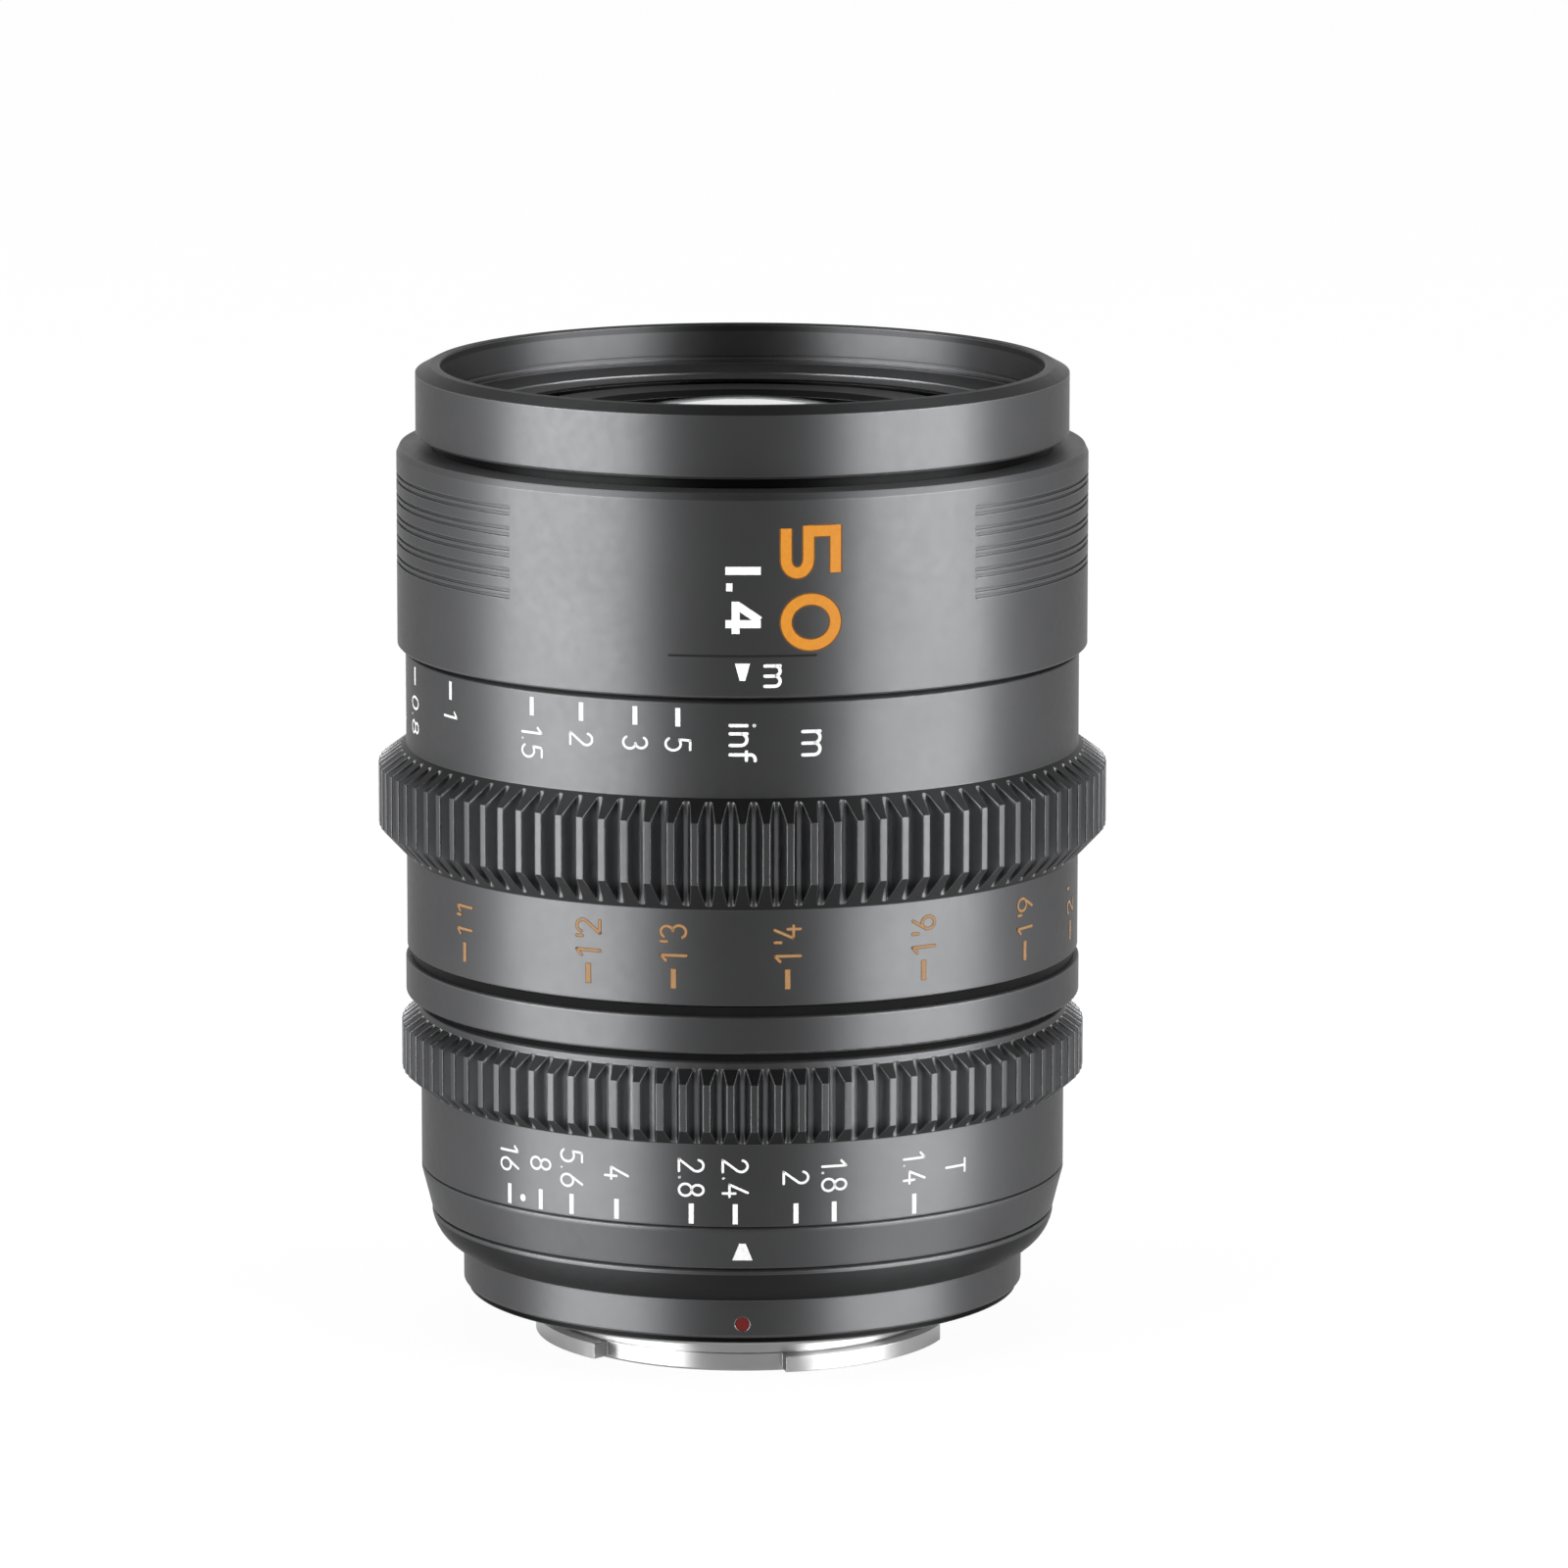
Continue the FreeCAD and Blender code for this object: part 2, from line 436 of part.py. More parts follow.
BARREL_BORE_R = BARREL_R - BARREL_WALL
BARREL_WEB_BORE_R = BARREL_BORE_R - BARREL_WEB_WIDTH
FRONT_CELL_FLANGE_R = BARREL_WEB_BORE_R + FRONT_CELL_FLANGE_WIDTH
FRONT_RING_R = BARREL_R - FRONT_RING_INSET
FRONT_NECK_R = BARREL_R - FRONT_NECK_INSET
RIM_OUTER_R = FRONT_RING_R - RIM_CHAMFER_WIDTH
FILTER_BORE_R = FRONT_RING_R - FRONT_RING_WALL
BEAUTY_STEP_R = FILTER_BORE_R - BEAUTY_STEP_INSET
BEAUTY_INNER_R = FRONT_RETAINER_R + BEAUTY_INNER_GAP
CELL_SCREW_CIRCLE_R = BARREL_WEB_BORE_R + CELL_SCREW_OUT
BARREL_SCREW_CIRCLE_R = BARREL_BORE_R - BARREL_SCREW_INSET
RING_SCREW_CIRCLE_R = CAM_FLANGE_R - RING_SCREW_INSET

AXIS = FreeCAD.Vector(0, 0, 1)
ORIGIN = FreeCAD.Vector(0, 0, 0)


def point(r, z):
    """A point of a profile in the X-Z plane."""
    return FreeCAD.Vector(r, 0, z)


def polar(r, deg, z=0.0):
    """A point at an angle counted from -Y towards +X."""
    a = math.radians(deg)
    return FreeCAD.Vector(r * math.sin(a), -r * math.cos(a), z)


def revolve(profile, turn=360.0, start=0.0):
    """Turns a closed profile about Z. An entry is (r, z), or ((r, z), (r, z)) for an arc's middle and end."""
    edges = []
    here = point(*profile[0])
    for entry in list(profile[1:]) + [profile[0]]:
        if isinstance(entry[0], tuple):
            middle = point(*entry[0])
            end = point(*entry[1])
            edges.append(Part.Arc(here, middle, end).toShape())
        else:
            end = point(*entry)
            if (end - here).Length > 1e-9:
                edges.append(Part.LineSegment(here, end).toShape())
        here = end
    face = Part.Face(Part.Wire(edges))
    solid = face.revolve(ORIGIN, AXIS, turn)
    if not isinstance(solid, Part.Solid):
        solid = Part.Solid(solid.Shells[0])
    if start:
        solid.rotate(ORIGIN, AXIS, start)
    if solid.Volume < 0:
        solid.reverse()
    return solid


def arc_cut(r_in, r_out, z0, z1, start_deg, span_deg):
    """A curved bar about Z, from an angle counted from -Y."""
    bar = revolve([(r_in, z0), (r_out, z0), (r_out, z1), (r_in, z1)], span_deg)
    bar.rotate(ORIGIN, AXIS, start_deg - 90)
    return bar


def tube(r_in, r_out, z0, z1):
    return revolve([(r_in, z0), (r_out, z0), (r_out, z1), (r_in, z1)])


def cylinder(r, z0, z1, x=0.0, y=0.0):
    return Part.makeCylinder(r, z1 - z0, FreeCAD.Vector(x, y, z0), AXIS)


def radial_pin(r, start, end, z, deg):
    """A round pin that points away from the optical axis."""
    return Part.makeCylinder(r, end - start, polar(start, deg, z), polar(1, deg))


def around(solid, count, start_deg=0.0):
    """Copies of a solid built at -Y, spread evenly about Z."""
    copies = []
    for i in range(count):
        copy = solid.copy()
        copy.rotate(ORIGIN, AXIS, start_deg + i * 360.0 / count)
        copies.append(copy)
    return copies


def sag(curve, r):
    """Height of a spherical surface between its vertex and radius r, positive for a crown."""
    size = abs(curve)
    depth = size - math.sqrt(size * size - r * r)
    return depth if curve > 0 else -depth


def lens(edge_r, top_z, top_clear_r, top_curve, bottom_z, bottom_clear_r, bottom_curve):
    """A glass element with flat edges outside its polished surfaces."""
    top_vertex = top_z + sag(top_curve, top_clear_r)
    bottom_vertex = bottom_z + sag(bottom_curve, bottom_clear_r)
    half_top = top_clear_r / 2
    half_bottom = bottom_clear_r / 2
    return revolve([
        (0, bottom_vertex),
        ((half_bottom, bottom_vertex - sag(bottom_curve, half_bottom)), (bottom_clear_r, bottom_z)),
        (edge_r, bottom_z),
        (edge_r, top_z),
        (top_clear_r, top_z),
        ((half_top, top_vertex - sag(top_curve, half_top)), (0, top_vertex)),
    ])


def notches(outer_r, inner_r, z, count=2):
    """Spanner notches, cut into the top of a retaining ring."""
    length = outer_r - inner_r + 2
    bar = Part.makeBox(SPANNER_NOTCH_WIDTH, length, 2 * SPANNER_NOTCH_DEPTH,
                       FreeCAD.Vector(-SPANNER_NOTCH_WIDTH / 2, -outer_r - 1, z - SPANNER_NOTCH_DEPTH))
    return around(bar, count, 90)


def retaining_ring(r_in, r_out, z0, z1, slot_side_z):
    return tube(r_in, r_out, z0, z1).cut(Part.makeCompound(notches(r_out, r_in, slot_side_z)))


def gear_spaces(tip_r, depth, teeth, z0, z1, phase_deg):
    """The gaps between the teeth of a follow-focus gear, as separate prisms along Z."""
    root_r = tip_r - depth
    over = 0.5
    slope = (GEAR_SPACE_TIP - GEAR_SPACE_ROOT) / 2 / (depth - GEAR_ROOT_FILLET)
    half_over = GEAR_SPACE_TIP / 2 + slope * over
    half_root = GEAR_SPACE_ROOT / 2
    outline = [
        (half_over, tip_r + over),
        (half_root, root_r + GEAR_ROOT_FILLET),
        (half_root - GEAR_ROOT_FILLET, root_r),
    ]
    corners = [FreeCAD.Vector(x, -r, z0) for x, r in outline]
    corners += [FreeCAD.Vector(-x, -r, z0) for x, r in reversed(outline)]
    face = Part.Face(Part.makePolygon(corners + corners[:1]))
    gap = face.extrude(FreeCAD.Vector(0, 0, z1 - z0))
    return Part.makeCompound(around(gap, teeth, phase_deg))


def slotted_screw(length):
    """A cheese-head screw with its head's top at z = 0, pointing down."""
    body = cylinder(SCREW_HEAD_R, -SCREW_HEAD_HEIGHT, 0)
    body = body.fuse(cylinder(SCREW_SHANK_R, -length, -SCREW_HEAD_HEIGHT / 2))
    slot = Part.makeBox(2 * SCREW_HEAD_R + 1, SCREW_SLOT_WIDTH, 2 * SCREW_SLOT_DEPTH,
                        FreeCAD.Vector(-SCREW_HEAD_R - 0.5, -SCREW_SLOT_WIDTH / 2, -SCREW_SLOT_DEPTH))
    return body.cut(slot).removeSplitter()


def screw_set(length, count, circle_r, top_z, start_deg, upside_down=False):
    screw = slotted_screw(length)
    if upside_down:
        screw.rotate(ORIGIN, FreeCAD.Vector(1, 0, 0), 180)
    screw.translate(FreeCAD.Vector(0, -circle_r, top_z))
    return Part.makeCompound(around(screw, count, start_deg))


def screw_holes(length, count, circle_r, top_z, start_deg, upside_down=False):
    """Clearance for a screw set: a counterbore and the shank's hole."""
    hole = cylinder(SCREW_HEAD_R + SEAT, -SCREW_HEAD_HEIGHT - SEAT, 1.0)
    hole = hole.fuse(cylinder(SCREW_SHANK_R + SEAT, -length - SEAT, 0))
    if upside_down:
        hole.rotate(ORIGIN, FreeCAD.Vector(1, 0, 0), 180)
    hole.translate(FreeCAD.Vector(0, -circle_r, top_z))
    return Part.makeCompound(around(hole, count, start_deg))


def cell_screw_args():
    top = BARREL_WEB_TOP_Z + FRONT_CELL_FLANGE_THICKNESS
    return CELL_SCREW_LENGTH, CELL_SCREWS, CELL_SCREW_CIRCLE_R, top, 0.0


def barrel_screw_args():
    return BARREL_SCREW_LENGTH, BARREL_SCREWS, BARREL_SCREW_CIRCLE_R, BARREL_WEB_TOP_Z, 30.0


def ring_screw_args():
    return RING_SCREW_LENGTH, RING_SCREWS, RING_SCREW_CIRCLE_R, FOCUS_RING_TOP_Z, 0.0


def mount_screw_args():
    return MOUNT_SCREW_LENGTH, MOUNT_SCREWS, MOUNT_SCREW_CIRCLE_R, 0.0, MOUNT_SCREW_START_DEG, True


# Front end

def front_ring():
    neck_bore = FRONT_NECK_R - FRONT_NECK_WALL
    relief_r = FILTER_BORE_R + FILTER_RELIEF_DEPTH
    land_r = FILTER_BORE_R + FILTER_LAND_DEPTH
    groove_r = FILTER_BORE_R + FILTER_GROOVE_DEPTH
    return revolve([
        (FRONT_NECK_R, FRONT_NECK_BOTTOM_Z),
        (FRONT_NECK_R, FRONT_RING_BOTTOM_Z),
        (FRONT_RING_R - FRONT_RING_LOWER_EDGE, FRONT_RING_BOTTOM_Z),
        (FRONT_RING_R, FRONT_RING_BOTTOM_Z + FRONT_RING_LOWER_EDGE),
        (FRONT_RING_R, FRONT_RING_EDGE_Z),
        (RIM_OUTER_R, RIM_Z),
        (FILTER_BORE_R + FILTER_MOUTH_CHAMFER, RIM_Z),
        (FILTER_BORE_R, RIM_Z - FILTER_MOUTH_CHAMFER),
        (FILTER_BORE_R, FILTER_THREAD_END_Z),
        (relief_r, FILTER_THREAD_END_Z),
        (relief_r, FILTER_LAND_TOP_Z),
        (land_r, FILTER_LAND_TOP_Z),
        (land_r, FILTER_GROOVE_TOP_Z),
        (groove_r, FILTER_GROOVE_TOP_Z),
        (groove_r, FILTER_GROOVE_BOTTOM_Z),
        (FILTER_BORE_R, FILTER_GROOVE_BOTTOM_Z),
        (FILTER_BORE_R, BEAUTY_SEAT_Z),
        (neck_bore, BEAUTY_SEAT_Z),
        (neck_bore, FRONT_NECK_BOTTOM_Z),
    ])


def beauty_ring():
    outer = FILTER_BORE_R - SEAT
    skirt = BEAUTY_INNER_R + BEAUTY_SKIRT_WALL
    return revolve([
        (outer, BEAUTY_SEAT_Z),
        (outer, BEAUTY_OUTER_Z),
        (BEAUTY_STEP_R, BEAUTY_STEP_Z),
        (BEAUTY_STEP_R, BEAUTY_STEP_Z - BEAUTY_STEP_DROP),
        (BEAUTY_INNER_R, BEAUTY_INNER_Z),
        (BEAUTY_INNER_R, FRONT_CELL_TOP_Z + FACE),
        (skirt, FRONT_CELL_TOP_Z + FACE),
        (skirt + SEAT, BEAUTY_SEAT_Z),
    ])


def front_retaining_ring():
    ring = revolve([
        (FRONT_ELEMENT_CLEAR_R + SEAT_MARGIN, FRONT_ELEMENT_EDGE_Z),
        (FRONT_ELEMENT_R, FRONT_ELEMENT_EDGE_Z),
        (FRONT_ELEMENT_R, FRONT_CELL_TOP_Z + FACE),
        (FRONT_RETAINER_R, FRONT_CELL_TOP_Z + FACE),
        (FRONT_RETAINER_R, FRONT_RETAINER_Z),
        (FRONT_RETAINER_LIP_R, FRONT_RETAINER_Z),
        (FRONT_RETAINER_BORE_R, FRONT_RETAINER_BORE_Z),
        (FRONT_ELEMENT_CLEAR_R + SEAT_MARGIN, FRONT_ELEMENT_EDGE_Z + RETAINER_HEIGHT / 5),
    ])
    cuts = notches(FRONT_RETAINER_R, (FRONT_RETAINER_R + FRONT_RETAINER_LIP_R) / 2, FRONT_RETAINER_Z)
    return ring.cut(Part.makeCompound(cuts))


def front_barrel():
    lip_r = FRONT_NECK_R + SEAT
    body = revolve([
        (BARREL_BORE_R, BARREL_BOTTOM_Z),
        (BARREL_R - BARREL_EDGE, BARREL_BOTTOM_Z),
        (BARREL_R, BARREL_BOTTOM_Z + BARREL_EDGE),
        (BARREL_R, BARREL_TOP_Z - BARREL_SHOULDER),
        (BARREL_R - BARREL_SHOULDER_WIDTH, BARREL_TOP_Z),
        (lip_r, BARREL_TOP_Z),
        (lip_r, BARREL_TOP_Z - BARREL_LIP_HEIGHT),
        (BARREL_BORE_R, BARREL_TOP_Z - BARREL_LIP_HEIGHT - BARREL_BORE_R + lip_r),
        (BARREL_BORE_R, BARREL_WEB_TOP_Z),
        (BARREL_WEB_BORE_R, BARREL_WEB_TOP_Z),
        (BARREL_WEB_BORE_R, BARREL_WEB_BOTTOM_Z),
        (BARREL_BORE_R, BARREL_WEB_BOTTOM_Z),
    ])
    cuts = [screw_holes(*cell_screw_args()), screw_holes(*barrel_screw_args())]
    for pair in range(GRIP_PAIRS):
        for side in (-1, 1):
            z = GRIP_TOP_PAIR_Z - pair * GRIP_PAIR_PITCH + side * GRIP_LINE_SPACING / 2
            for start in (GRIP_START_DEG, -GRIP_START_DEG - GRIP_SPAN_DEG):
                cuts.append(arc_cut(BARREL_R - GRIP_LINE_DEPTH, BARREL_R + 1, z - GRIP_LINE_WIDTH / 2,
                                    z + GRIP_LINE_WIDTH / 2, start, GRIP_SPAN_DEG))
    return body.cut(cuts)


def front_cell():
    bore = FRONT_ELEMENT_R + SEAT
    rear_bore = THIRD_ELEMENT_R + SEAT
    ledge_bore = SECOND_ELEMENT_CLEAR_R + SEAT_MARGIN
    body = revolve([
        (rear_bore, FRONT_CELL_BOTTOM_Z),
        (FRONT_CELL_TAIL_R, FRONT_CELL_BOTTOM_Z),
        (FRONT_CELL_TAIL_R, BARREL_WEB_TOP_Z),
        (FRONT_CELL_FLANGE_R, BARREL_WEB_TOP_Z),
        (FRONT_CELL_FLANGE_R, BARREL_WEB_TOP_Z + FRONT_CELL_FLANGE_THICKNESS),
        (FRONT_CELL_R, BARREL_WEB_TOP_Z + FRONT_CELL_FLANGE_THICKNESS),
        (FRONT_CELL_R, FRONT_CELL_TOP_Z),
        (bore, FRONT_CELL_TOP_Z),
        (bore, SECOND_ELEMENT_REAR_Z),
        (ledge_bore, SECOND_ELEMENT_REAR_Z),
        (ledge_bore, FRONT_CELL_LEDGE_Z + (ledge_bore - THIRD_ELEMENT_CLEAR_R) / 4),
        (THIRD_ELEMENT_CLEAR_R + SEAT_MARGIN, FRONT_CELL_LEDGE_Z + SEAT_MARGIN),
        (THIRD_ELEMENT_CLEAR_R + SEAT_MARGIN, FRONT_CELL_LEDGE_Z),
        (rear_bore, FRONT_CELL_LEDGE_Z),
    ])
    return body.cut(screw_holes(*cell_screw_args()))


def front_element():
    return lens(FRONT_ELEMENT_R, FRONT_ELEMENT_EDGE_Z, FRONT_ELEMENT_CLEAR_R, FRONT_ELEMENT_FRONT_CURVE,
                FRONT_ELEMENT_REAR_Z, FRONT_ELEMENT_CLEAR_R, FRONT_ELEMENT_REAR_CURVE)


def front_spacer():
    return tube(FRONT_ELEMENT_CLEAR_R + SEAT_MARGIN, FRONT_ELEMENT_R,
                SECOND_ELEMENT_EDGE_Z, FRONT_ELEMENT_REAR_Z)


def second_element():
    return lens(FRONT_ELEMENT_R, SECOND_ELEMENT_EDGE_Z, FRONT_ELEMENT_CLEAR_R, SECOND_ELEMENT_FRONT_CURVE,
                SECOND_ELEMENT_REAR_Z, SECOND_ELEMENT_CLEAR_R, SECOND_ELEMENT_REAR_CURVE)


def third_element():
    return lens(THIRD_ELEMENT_R, FRONT_CELL_LEDGE_Z, THIRD_ELEMENT_CLEAR_R, THIRD_ELEMENT_FRONT_CURVE,
                THIRD_ELEMENT_REAR_Z, THIRD_ELEMENT_CLEAR_R, THIRD_ELEMENT_REAR_CURVE)


def third_element_retainer():
    bottom = THIRD_ELEMENT_REAR_Z - RETAINER_HEIGHT
    return retaining_ring(THIRD_ELEMENT_CLEAR_R + SEAT_MARGIN, THIRD_ELEMENT_R,
                          bottom, THIRD_ELEMENT_REAR_Z, bottom)


# Focus drive

def follower_angles():
    return [FOLLOWER_START_DEG + i * 360.0 / FOLLOWERS for i in range(FOLLOWERS)]


def guide_tube():
    body = revolve([
        (GUIDE_TUBE_BORE_R, GUIDE_TUBE_BOTTOM_Z),
        (GUIDE_TUBE_R, GUIDE_TUBE_BOTTOM_Z),
        (GUIDE_TUBE_R, GUIDE_FLANGE_BOTTOM_Z),
        (BARREL_BORE_R - SEAT, GUIDE_FLANGE_BOTTOM_Z),
        (BARREL_BORE_R - SEAT, BARREL_WEB_BOTTOM_Z),
        (GUIDE_TUBE_BORE_R, BARREL_WEB_BOTTOM_Z),
    ])
    cuts = [screw_holes(*barrel_screw_args()),
            radial_pin(STOP_PIN_R + SEAT, GUIDE_TUBE_BORE_R - 1, GUIDE_TUBE_R + 1, STOP_PIN_Z, STOP_PIN_DEG)]
    slot_r = FOLLOWER_R + RUN
    for deg in follower_angles():
        slot = Part.makeBox(2 * slot_r, GUIDE_TUBE_R, FOCUS_TRAVEL,
                            FreeCAD.Vector(-slot_r, -GUIDE_TUBE_R - 5, FOLLOWER_Z))
        slot.rotate(ORIGIN, AXIS, deg)
        inner = GUIDE_TUBE_BORE_R - 2
        ends = [radial_pin(slot_r, inner, GUIDE_TUBE_R + 2, z, deg)
                for z in (FOLLOWER_Z, FOLLOWER_Z + FOCUS_TRAVEL)]
        cuts += [slot] + ends
    return body.cut(cuts)


def helical_slot():
    """One cam slot through the sleeve's wall. It rises as the ring turns its follower clockwise past it."""
    half = FOLLOWER_R + RUN
    r_in = CAM_BORE_R - 0.6
    r_out = CAM_SLEEVE_R + 0.6
    r_mid = (r_in + r_out) / 2
    helix = Part.makeHelix(CAM_LEAD, FOCUS_TRAVEL, r_mid, 0, True)
    climb = math.atan2(CAM_LEAD, 2 * math.pi * r_mid)
    across = FreeCAD.Vector(0, math.sin(climb) * half, math.cos(climb) * half)
    corners = [FreeCAD.Vector(r_in, 0, 0) - across, FreeCAD.Vector(r_out, 0, 0) - across,
               FreeCAD.Vector(r_out, 0, 0) + across, FreeCAD.Vector(r_in, 0, 0) + across]
    section = Part.makePolygon(corners + corners[:1])
    slot = Part.Wire(helix.Edges).makePipeShell([section], True, True)
    slot.rotate(ORIGIN, AXIS, -90)
    parts = [slot]
    for turn, rise in ((0.0, 0.0), (-FOCUS_THROW_DEG, FOCUS_TRAVEL)):
        parts.append(radial_pin(half, r_in, r_out, rise, turn))
    return parts


def cam_sleeve():
    top = FOCUS_RING_TOP_Z
    body = revolve([
        (CAM_BORE_R, FOCUS_RING_BOTTOM_Z + FOCUS_RING_EDGE),
        (CAM_SLEEVE_R, FOCUS_RING_BOTTOM_Z + FOCUS_RING_EDGE),
        (CAM_SLEEVE_R, top - CAM_FLANGE_HEIGHT),
        (CAM_FLANGE_R, top - CAM_FLANGE_HEIGHT),
        (CAM_FLANGE_R, top),
        (CAM_BORE_R, top),
    ])
    cuts = [screw_holes(*ring_screw_args())]
    half_stop = math.degrees((STOP_PIN_R + RUN) / CAM_BORE_R)
    cuts.append(arc_cut(CAM_BORE_R - 1, CAM_BORE_R + STOP_GROOVE_DEPTH, STOP_PIN_Z - STOP_PIN_R - RUN,
                        STOP_PIN_Z + STOP_PIN_R + RUN, STOP_PIN_DEG - FOCUS_THROW_DEG - half_stop,
                        FOCUS_THROW_DEG + 2 * half_stop))
    for deg in follower_angles():
        for piece in helical_slot():
            piece.translate(FreeCAD.Vector(0, 0, FOLLOWER_Z))
            piece.rotate(ORIGIN, AXIS, deg)
            cuts.append(piece)
    return body.cut(cuts)


def focus_ring():
    e = FOCUS_RING_EDGE
    top = FOCUS_RING_TOP_Z
    bottom = FOCUS_RING_BOTTOM_Z
    relief = FOCUS_BORE_R + FOCUS_RELIEF_DEPTH
    counterbore = CAM_FLANGE_R + SEAT
    seat = top - CAM_FLANGE_HEIGHT
    body = revolve([
        (FOCUS_BORE_R, bottom),
        (FOCUS_RING_R - e, bottom),
        (FOCUS_RING_R, bottom + e),
        (FOCUS_RING_R, FOCUS_GEAR_FOOT_BOTTOM_Z),
        (FOCUS_GEAR_R, FOCUS_GEAR_BOTTOM_Z),
        (FOCUS_GEAR_R, FOCUS_GEAR_TOP_Z),
        (FOCUS_RING_R, FOCUS_GEAR_FOOT_TOP_Z),
        (FOCUS_RING_R, top - e),
        (FOCUS_RING_R - e, top),
        (counterbore, top),
        (counterbore, seat),
        (FOCUS_BORE_R, seat),
        (FOCUS_BORE_R, seat - RING_SCREW_LENGTH),
        (relief, seat - RING_SCREW_LENGTH - FOCUS_RELIEF_DEPTH),
        (relief, bottom + FOCUS_LAND_HEIGHT + FOCUS_RELIEF_DEPTH),
        (FOCUS_BORE_R, bottom + FOCUS_LAND_HEIGHT),
    ])
    spaces = gear_spaces(FOCUS_GEAR_R, FOCUS_GEAR_DEPTH, FOCUS_GEAR_TEETH, FOCUS_GEAR_FOOT_BOTTOM_Z,
                         FOCUS_GEAR_FOOT_TOP_Z, 180.0 / FOCUS_GEAR_TEETH)
    return body.cut(spaces).cut(screw_holes(*ring_screw_args()))


def front_thrust_washer():
    return tube(CAM_BORE_R + RUN, CAM_BORE_R + RUN + THRUST_WASHER_WIDTH,
                FOCUS_RING_TOP_Z + FACE, GUIDE_FLANGE_BOTTOM_Z)


def rear_thrust_ring():
    inner = FOCUS_BORE_R + RUN
    lip = FOCUS_BORE_R + THRUST_WASHER_WIDTH
    return revolve([
        (inner, MID_RING_TOP_Z),
        (REAR_THRUST_R, MID_RING_TOP_Z),
        (REAR_THRUST_R, REAR_THRUST_TOP_Z),
        (lip, REAR_THRUST_TOP_Z),
        (lip, FOCUS_RING_BOTTOM_Z - FACE),
        (inner, FOCUS_RING_BOTTOM_Z - FACE),
    ])


def focus_stop_pin():
    return radial_pin(STOP_PIN_R, GUIDE_TUBE_BORE_R + SEAT, CAM_BORE_R + STOP_GROOVE_DEPTH - 2 * RUN,
                      STOP_PIN_Z, STOP_PIN_DEG)


def focus_carriage():
    outer = GUIDE_TUBE_BORE_R - RUN
    bore = CARRIAGE_ELEMENT_R + SEAT
    body = revolve([
        (CARRIAGE_TAIL_BORE_R, CARRIAGE_BOTTOM_Z),
        (outer, CARRIAGE_BOTTOM_Z),
        (outer, CARRIAGE_TOP_Z),
        (bore, CARRIAGE_TOP_Z),
        (bore, CARRIAGE_SEAT_Z),
        (CARRIAGE_CLEAR_R + SEAT_MARGIN, CARRIAGE_SEAT_Z),
        (CARRIAGE_CLEAR_R + SEAT_MARGIN, CARRIAGE_LEDGE_Z),
        (CARRIAGE_TAIL_BORE_R, CARRIAGE_LEDGE_Z),
    ])
    sockets = [radial_pin(FOLLOWER_R + SEAT, outer - FOLLOWER_ROOT - SEAT, outer + 1, FOLLOWER_Z, deg)
               for deg in follower_angles()]
    return body.cut(sockets)


def follower_pins():
    outer = GUIDE_TUBE_BORE_R - RUN
    pins = [radial_pin(FOLLOWER_R, outer - FOLLOWER_ROOT, CAM_SLEEVE_R - RUN, FOLLOWER_Z, deg)
            for deg in follower_angles()]
    return Part.makeCompound(pins)


def fourth_element():
    return lens(CARRIAGE_ELEMENT_R, FOURTH_ELEMENT_TOP_Z, CARRIAGE_CLEAR_R, FOURTH_ELEMENT_FRONT_CURVE,
                FOURTH_ELEMENT_BOTTOM_Z, CARRIAGE_CLEAR_R, FOURTH_ELEMENT_REAR_CURVE)


def fifth_element():
    return lens(CARRIAGE_ELEMENT_R, FIFTH_ELEMENT_TOP_Z, CARRIAGE_CLEAR_R, FIFTH_ELEMENT_FRONT_CURVE,
                FIFTH_ELEMENT_BOTTOM_Z, CARRIAGE_CLEAR_R, FIFTH_ELEMENT_REAR_CURVE)


def sixth_element():
    return lens(CARRIAGE_ELEMENT_R, SIXTH_ELEMENT_TOP_Z, CARRIAGE_CLEAR_R, SIXTH_ELEMENT_FRONT_CURVE,
                CARRIAGE_SEAT_Z, CARRIAGE_CLEAR_R, SIXTH_ELEMENT_REAR_CURVE)


def carriage_spacer(z0, z1):
    return tube(CARRIAGE_CLEAR_R + SEAT_MARGIN, CARRIAGE_ELEMENT_R, z0, z1)


def carriage_retaining_ring():
    top = FOURTH_ELEMENT_TOP_Z + RETAINER_HEIGHT
    return retaining_ring(CARRIAGE_CLEAR_R + SEAT_MARGIN, CARRIAGE_ELEMENT_R,
                          FOURTH_ELEMENT_TOP_Z, top, top)


# Middle ring and iris ring

def mid_ring():
    bore = GUIDE_TUBE_R + SEAT
    half_round = MID_RING_ROUND * (1 - math.sqrt(0.5))
    return revolve([
        (bore, MID_RING_BOTTOM_Z),
        (MID_RING_R - MID_RING_ROUND, MID_RING_BOTTOM_Z),
        ((MID_RING_R - half_round, MID_RING_BOTTOM_Z + half_round),
         (MID_RING_R, MID_RING_BOTTOM_Z + MID_RING_ROUND)),
        (MID_RING_R, MID_RING_TOP_Z - FOCUS_RING_EDGE),
        (MID_RING_R - FOCUS_RING_EDGE, MID_RING_TOP_Z),
        (bore, MID_RING_TOP_Z),
    ])


